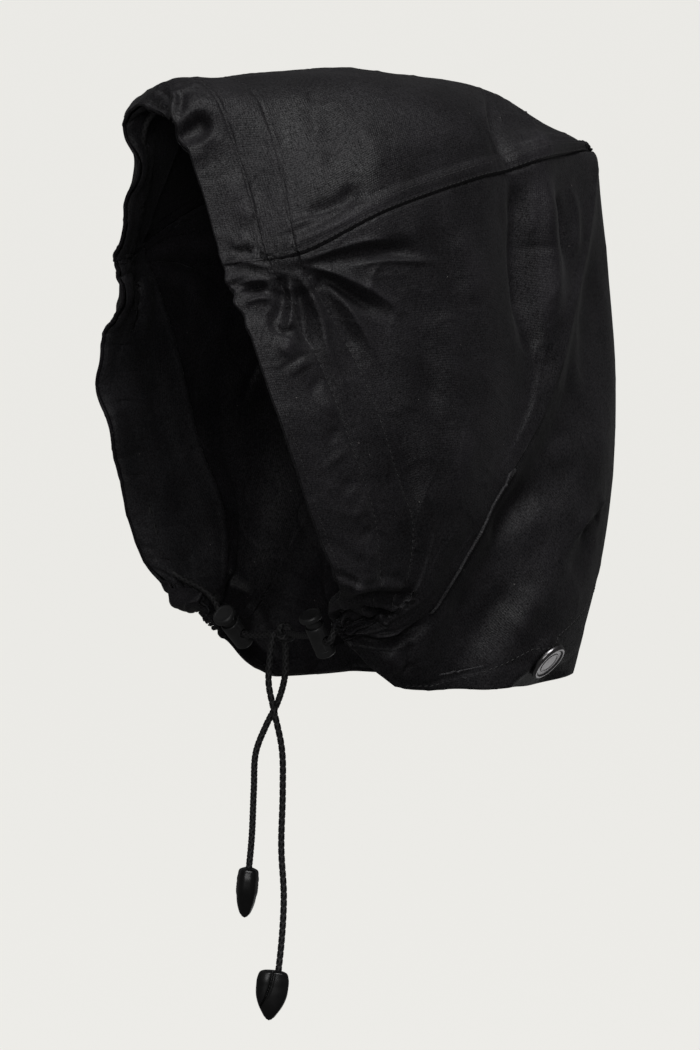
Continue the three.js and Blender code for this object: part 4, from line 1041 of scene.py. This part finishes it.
# Snap studs.
CAP_PROFILE = [(0, -3.1), (2, -3.1), (2, 0.3), (STUD_RADIUS - 0.6, 0.3), (STUD_RADIUS, 0.9),
               (STUD_RADIUS, 2.1), (STUD_RADIUS - 0.9, 3.0), (STUD_RADIUS - 1.9, 3.0),
               (STUD_RADIUS - 2.7, 2.35), (STUD_RADIUS - 4.4, 2.3),
               (STUD_RADIUS - 4.8, 2.55), (STUD_RADIUS - 5.3, 2.55), (STUD_RADIUS - 5.8, 2.35), (0, 2.62)]
SOCKET_TOP = -(WALL + 1.2 + 0.6)
SOCKET_PROFILE = [(2.6, SOCKET_TOP), (7.5, SOCKET_TOP), (7.5, SOCKET_TOP - 1.2), (5.6, SOCKET_TOP - 1.8),
                  (5.6, SOCKET_TOP - 4), (3.4, SOCKET_TOP - 4), (2.6, SOCKET_TOP - 1.6)]
for side, sign in (("left", 1), ("right", -1)):
    centre, normal = STUD_CENTRE * [sign, 1, 1], STUD_NORMAL * [sign, 1, 1]
    for label, profile in (("cap", CAP_PROFILE), ("socket", SOCKET_PROFILE)):
        vertices, faces = turned(rounded_profile(profile, 0.35, 3), 96)
        vertices = row(place(vertices, centre, frame_to(normal)))
        item = tidy(new_mesh(f"snap_{label}_{side}_metal", vertices, faces))
        finish_piece(item, enamel, "hood", "snap_metal", f"snap_{label}_{side}")

# Cord locks.
KNOT = np.array([0.0, 70.3, -274.3])
LOCKS = [
    {"side": "left", "centre": np.array([46.8, 60.6, -274.6]), "down": np.array([-0.169, 0.524, -0.834])},
    {"side": "right", "centre": np.array([-36.0, 65.5, -275.4]), "down": np.array([-0.288, 0.728, -0.622])},
]
BARREL_PROFILE = [(0, -9), (4.3, -9), (5.0, -8.2), (5.0, -5.4), (4.82, -5.1), (5.0, -4.8), (5.0, 7.3),
                  (4.6, 8), (4.1, 8), (4.1, -7.5), (0, -7.5)]
BUTTON_PROFILE = [(0, -4.2), (3.8, -4.2), (3.8, 11.4), (5.15, 11.8), (5.85, 12.5), (5.85, 14.1),
                  (5.2, 14.9), (4.3, 15.0), (3.9, 14.75), (0, 14.85)]
SLOT_CORNERS = [(x, y, z) for x in (-8, 8) for y in (-2.2, 2.2) for z in (-2.1, 5.1)]
SLOT_FACES = [(0, 1, 3, 2), (4, 6, 7, 5), (0, 4, 5, 1), (2, 3, 7, 6), (0, 2, 6, 4), (1, 5, 7, 3)]


def cut_with(item, cutter_vertices, cutter_faces):
    """Cuts a hole, with the result applied to the mesh."""
    cutter = tidy(new_mesh("cutter", cutter_vertices, cutter_faces))
    change = item.modifiers.new("hole", "BOOLEAN")
    change.operation, change.solver, change.object = "DIFFERENCE", "EXACT", cutter
    shown = item.evaluated_get(bpy.context.evaluated_depsgraph_get())
    mesh = bpy.data.meshes.new_from_object(shown)
    item.modifiers.clear()
    item.data = mesh
    bpy.data.objects.remove(cutter)
    for polygon in item.data.polygons:
        polygon.use_smooth = True
    item.data.set_sharp_from_angle(angle=math.radians(38))
    return item


for lock in LOCKS:
    up = -unit(lock["down"])
    way = unit(np.array([1.0, 0, 0]) - up * up[0])
    axes = np.stack([way, np.cross(up, way), up])
    lock["axes"], lock["way"] = axes, way
    vertices, faces = turned(rounded_profile(BARREL_PROFILE, 0.3, 3), 80)
    vertices = row(place(vertices, lock["centre"], axes))
    item = tidy(new_mesh(f"lock_barrel_{lock['side']}_shell", vertices, faces))
    hole, hole_faces = turned([(0, -8), (2.3, -8), (2.3, 8), (0, 8)], 40)
    hole = hole[:, [2, 0, 1]]
    cut_with(item, row(place(hole, lock["centre"], axes)), hole_faces)
    finish_piece(item, plastic, "hood", "lock_plastic", f"lock_barrel_{lock['side']}")
    vertices, faces = turned(rounded_profile(BUTTON_PROFILE, 0.3, 3), 80)
    name = f"lock_plunger_{lock['side']}"
    item = tidy(new_mesh(f"{name}_button", row(place(vertices, lock["centre"], axes)), faces))
    cut_with(item, row(place(SLOT_CORNERS, lock["centre"], axes)), SLOT_FACES)
    finish_piece(item, plastic, f"plunger_{lock['side']}", "lock_plastic", name)


def between(t, first, last, start, stop):
    return (stop - t) / (stop - start) * first + (t - start) / (stop - start) * last


def catmull(points, count):
    """Centripetal curve through points, at even distances, and its length."""
    points = np.asarray(points, float)
    padded = np.concatenate([[2 * points[0] - points[1]], points, [2 * points[-1] - points[-2]]])
    parts = []
    for i in range(1, len(padded) - 2):
        p0, p1, p2, p3 = padded[i - 1:i + 3]
        steps = np.linalg.norm(np.diff(padded[i - 1:i + 3], axis=0), axis=1) ** 0.5
        t0, t1, t2, t3 = np.concatenate([[0], np.cumsum(steps)])
        t = np.linspace(t1, t2, 24, endpoint=False)[:, None]
        middle = between(t, p1, p2, t1, t2)
        before = between(t, between(t, p0, p1, t0, t1), middle, t0, t2)
        after = between(t, middle, between(t, p2, p3, t2, t3), t1, t3)
        parts.append(between(t, before, after, t1, t2))
    line = np.concatenate(parts + [points[-1:]])
    run = arc(line, 0)
    return along_run(line, run, np.linspace(0, run[-1], count)), run[-1]


# Drawcord: hidden in the tunnel, bare between the casing's two ends.
tunnel_v = np.array([0.035, 0.04, 0.045])
cord_drop = WALL + 0.7 + CORD_RADIUS
runs = []
for sign, columns, is_crown in ((1, side_along[::4], False), (1, crown_along[1::4], True)):
    grid = plain(columns, tunnel_v, is_crown)
    deeper = 0.6 + 5.6 * smooth01(columns, 1.2, 1.32)
    runs.append(grid[1] - grid_normals(grid)[1] * (cord_drop + deeper)[:, None])
left_run = np.concatenate(runs)
hidden_points = np.concatenate([left_run, left_run[::-1] * [-1, 1, 1]])
hidden_line, _ = catmull(hidden_points, 520)
item = tube("drawcord_in_casing", hidden_line, CORD_RADIUS, 12)
finish_piece(item, cord_look, "hood", "braided_cord", "drawcord")
bare_points = []
for lock, (end, inner) in ((LOCKS[0], hidden_points[:2]), (LOCKS[1], hidden_points[:-3:-1])):
    sign = np.sign(lock["centre"][0])
    leave = unit(end - inner)
    past_lock = lock["centre"] - lock["way"] * 7 * sign
    bare_points.append([
        end - leave * 2, end + leave * 3, lock["centre"] + lock["way"] * 7 * sign, lock["centre"], past_lock,
        KNOT * 0.45 + past_lock * 0.55 + [0, 0, -0.5], KNOT + [2.5 * sign, 0, 0],
    ])
bare = bare_points[0] + bare_points[1][::-1]
bare_line, bare_length = catmull(bare, 420)
item = tube("drawcord_bare", bare_line, CORD_RADIUS, 16, braid=0.34)
finish_piece(item, cord_look, "hood", "braided_cord", "drawcord")

# Knot: crossing turns of the same cord.
knot_line = []
for t in np.linspace(0, 2 * np.pi, 260):
    wide = 2.75 + 1.05 * math.cos(3 * t)
    knot_line.append([wide * math.cos(2 * t), 1.55 * math.sin(3 * t), wide * math.sin(2 * t) * 1.05])
turn_knot = frame_to((0.75, -0.6, 0.25))
knot_points = np.array(knot_line)[:, [0, 2, 1]] @ turn_knot + KNOT
item = tube("cord_knot_turns", knot_points, CORD_RADIUS, 16, braid=0.34)
finish_piece(item, cord_look, "hood", "braided_cord", "cord_knot")

# Tails, read across the view and in height, with their drop-shaped ends.
ACROSS = np.array([0.5446, 0.8387, 0.0])
TOWARD = np.array([0.8387, -0.5446, 0.0])
TAILS = [
    {"side": "left", "depth": 2.4, "aside": -2.2, "start": (53.6, -274), "rows": [(51.6, -288), (51.1, -299),
     (53.6, -312), (57.5, -331), (57.9, -352), (57.2, -379), (58.4, -402.5), (57.5, -422.5), (55.3, -443.7)]},
    {"side": "right", "depth": -1.8, "aside": 0.0, "start": (58.6, -276), "rows": [(59.2, -283), (58.9, -296),
     (55.6, -308), (49.7, -320), (44.8, -333), (43.8, -351), (42.8, -374), (41, -393.6)]},
]
knot_depth = KNOT @ TOWARD


def hang(across, height, depth):
    point = ACROSS * across + TOWARD * (knot_depth + depth)
    return np.array([point[0], point[1], height])


DROP_LENGTH = 24.0
# Place down the drop, half width and half thickness.
DROP_ROWS = [(0, 5.2, 3.4), (0.05, 6.6, 4.2), (0.15, 7.6, 4.8), (0.35, 7.9, 5), (0.55, 7.4, 4.9),
             (0.75, 5.6, 4.2), (0.9, 3.4, 3), (1, 1.9, 1.8)]


def drop_end(name, top, down, wide, aside):
    """A flat drop: on each face a bulging lens at the left, a curved groove and a lip beside it."""
    thick = unit(np.cross(down, wide))
    rows_t = np.linspace(0, 1, 110)
    shares = [r[0] for r in DROP_ROWS]
    widths = hermite(shares, np.array([r[1] for r in DROP_ROWS])[:, None], rows_t)[:, 0]
    thicks = hermite(shares, np.array([r[2] for r in DROP_ROWS])[:, None], rows_t)[:, 0]
    round_top = np.sqrt(np.clip(1 - (1 - np.clip(rows_t / 0.05, 0, 1)) ** 2, 0, 1))
    sides = 160
    turn = np.linspace(0, 2 * np.pi, sides, endpoint=False)
    vertices = []
    for t, w, h, cap in zip(rows_t, widths, thicks, round_top):
        w, h = w * (0.5 + 0.5 * cap), h * (0.45 + 0.55 * cap)
        blunt = 1 - 0.22 * smooth01(t, 0.94, 1.0)
        x = np.sign(np.cos(turn)) * np.abs(np.cos(turn)) ** 0.86 * w * blunt
        y = np.sign(np.sin(turn)) * np.abs(np.sin(turn)) ** 0.62 * h * blunt
        split = -0.5 - 7.6 * t * t
        fade = smooth01(t, 0.01, 0.06) * (1 - smooth01(t, 0.74, 0.84))
        groove = np.exp(-((x - split) / 0.42) ** 4) * fade
        lip = np.exp(-((x - split - 0.92) / 0.34) ** 2) * fade * (1 - smooth01(t, 0.5, 0.66))
        lens_middle = (split - 0.4 - w) / 2
        lens_half = np.maximum((split + 0.4 + w) / 2, 0.05)
        lens = np.sqrt(np.clip(1 - ((x - lens_middle) / lens_half) ** 2, 0, 1)) * fade
        face = smooth01(np.abs(np.sin(turn)), 0.1, 0.6)
        y = y + np.sign(np.sin(turn)) * face * (-1.15 * groove + 0.4 * lip + 0.75 * lens - 0.35 * (x < split))
        point = top + down * t * DROP_LENGTH + wide * aside
        vertices.append(point + np.outer(x, wide) + np.outer(y, thick))
    ends = [top + wide * aside + down * 0.1, top + wide * aside + down * (DROP_LENGTH + 0.7)]
    vertices = np.concatenate(vertices + [np.array(ends)])
    item = new_mesh(name, row(vertices), ring_faces(len(rows_t), sides))
    return tidy(item, 0.000002)


for tail in TAILS:
    side = tail["side"]
    points = [hang(*tail["start"], 0.0)] + [hang(a, h, tail["depth"]) for a, h in tail["rows"]]
    line, length = catmull(points, 430)
    item = tube(f"cord_tail_{side}_braid", line, CORD_RADIUS, 16, braid=0.34)
    finish_piece(item, cord_look, "hood", "braided_cord", f"cord_tail_{side}")
    tip = np.array(points[-1])
    down = unit(tip - np.array(points[-2]))
    wide = ACROSS if side == "left" else TOWARD
    wide = unit(wide - down * (wide @ down))
    end = drop_end(f"cord_end_{side}_drop", tip - down * 4.6, down, wide, tail["aside"])
    finish_piece(end, drop_plastic, "hood", "cord_end_plastic", f"cord_end_{side}")

# Pale floor that rises into a backdrop, evenly lit, and soft lamps.
floor_z = cad_box[0][2] - 0.07
away = np.array([-BACK[0], -BACK[1], 0.0])
beside = np.array([ca, sa, 0.0])
profile = [(-30.0, 0.0), (9.0, 0.0)]
for turn in np.linspace(0, np.pi / 2, 13)[1:]:
    profile.append((9.0 + 3.0 * math.sin(turn), 3.0 - 3.0 * math.cos(turn)))
profile.append((12.0, 30.0))
sweep = []
for forward, height in profile:
    for aside in (-30.0, 30.0):
        sweep.append(unit(away) * forward + beside * aside + [0, 0, floor_z + height])
sweep_faces = [(2 * i, 2 * i + 1, 2 * i + 3, 2 * i + 2) for i in range(len(profile) - 1)]
stage_mesh = new_mesh("floor", np.array(sweep), np.array(sweep_faces))
floor_look = Shading("floor")
floor_look.give(floor_look.shader, {
    "Base Color": (0.05, 0.05, 0.048, 1), "Roughness": 1.0, "Specular IOR Level": 0.0,
    "Emission Color": (0.822, 0.814, 0.783, 1), "Emission Strength": 1.0,
})
stage_mesh.data.materials.append(floor_look.material)
stage_mesh.visible_diffuse = False
stage_mesh.visible_glossy = False
stage_mesh.visible_shadow = False

world = bpy.data.worlds.new("studio")
bpy.context.scene.world = world
world.use_nodes = True
world.node_tree.nodes["Background"].inputs["Color"].default_value = (0.98, 0.975, 0.97, 1)
world.node_tree.nodes["Background"].inputs["Strength"].default_value = 0.07


LAMP_DISTANCE = 4.0
LAMP_AIM = Vector((0.0, 0.0, -0.15))
LAMPS = [
    {"name": "key", "azimuth": 77, "elevation": 64, "size": (1.9, 1.9), "power": 94},
    {"name": "front", "azimuth": 52, "elevation": 14, "size": (1.4, 1.6), "power": 27},
    {"name": "bounce", "azimuth": 207, "elevation": -29, "size": (1.6, 1.6), "power": 6},
]
for lamp in LAMPS:
    data = bpy.data.lights.new(lamp["name"], "AREA")
    data.shape, data.energy = "RECTANGLE", lamp["power"]
    data.size, data.size_y = lamp["size"]
    item = bpy.data.objects.new(lamp["name"], data)
    bpy.context.scene.collection.objects.link(item)
    turn, rise = math.radians(lamp["azimuth"]), math.radians(lamp["elevation"])
    back = Vector((math.sin(turn) * math.cos(rise), -math.cos(turn) * math.cos(rise), math.sin(rise)))
    item.location = LAMP_AIM + back * LAMP_DISTANCE
    item.rotation_mode = "QUATERNION"
    item.rotation_quaternion = back.to_track_quat("Z", "Y")

bpy.context.scene.view_settings.view_transform = "Standard"
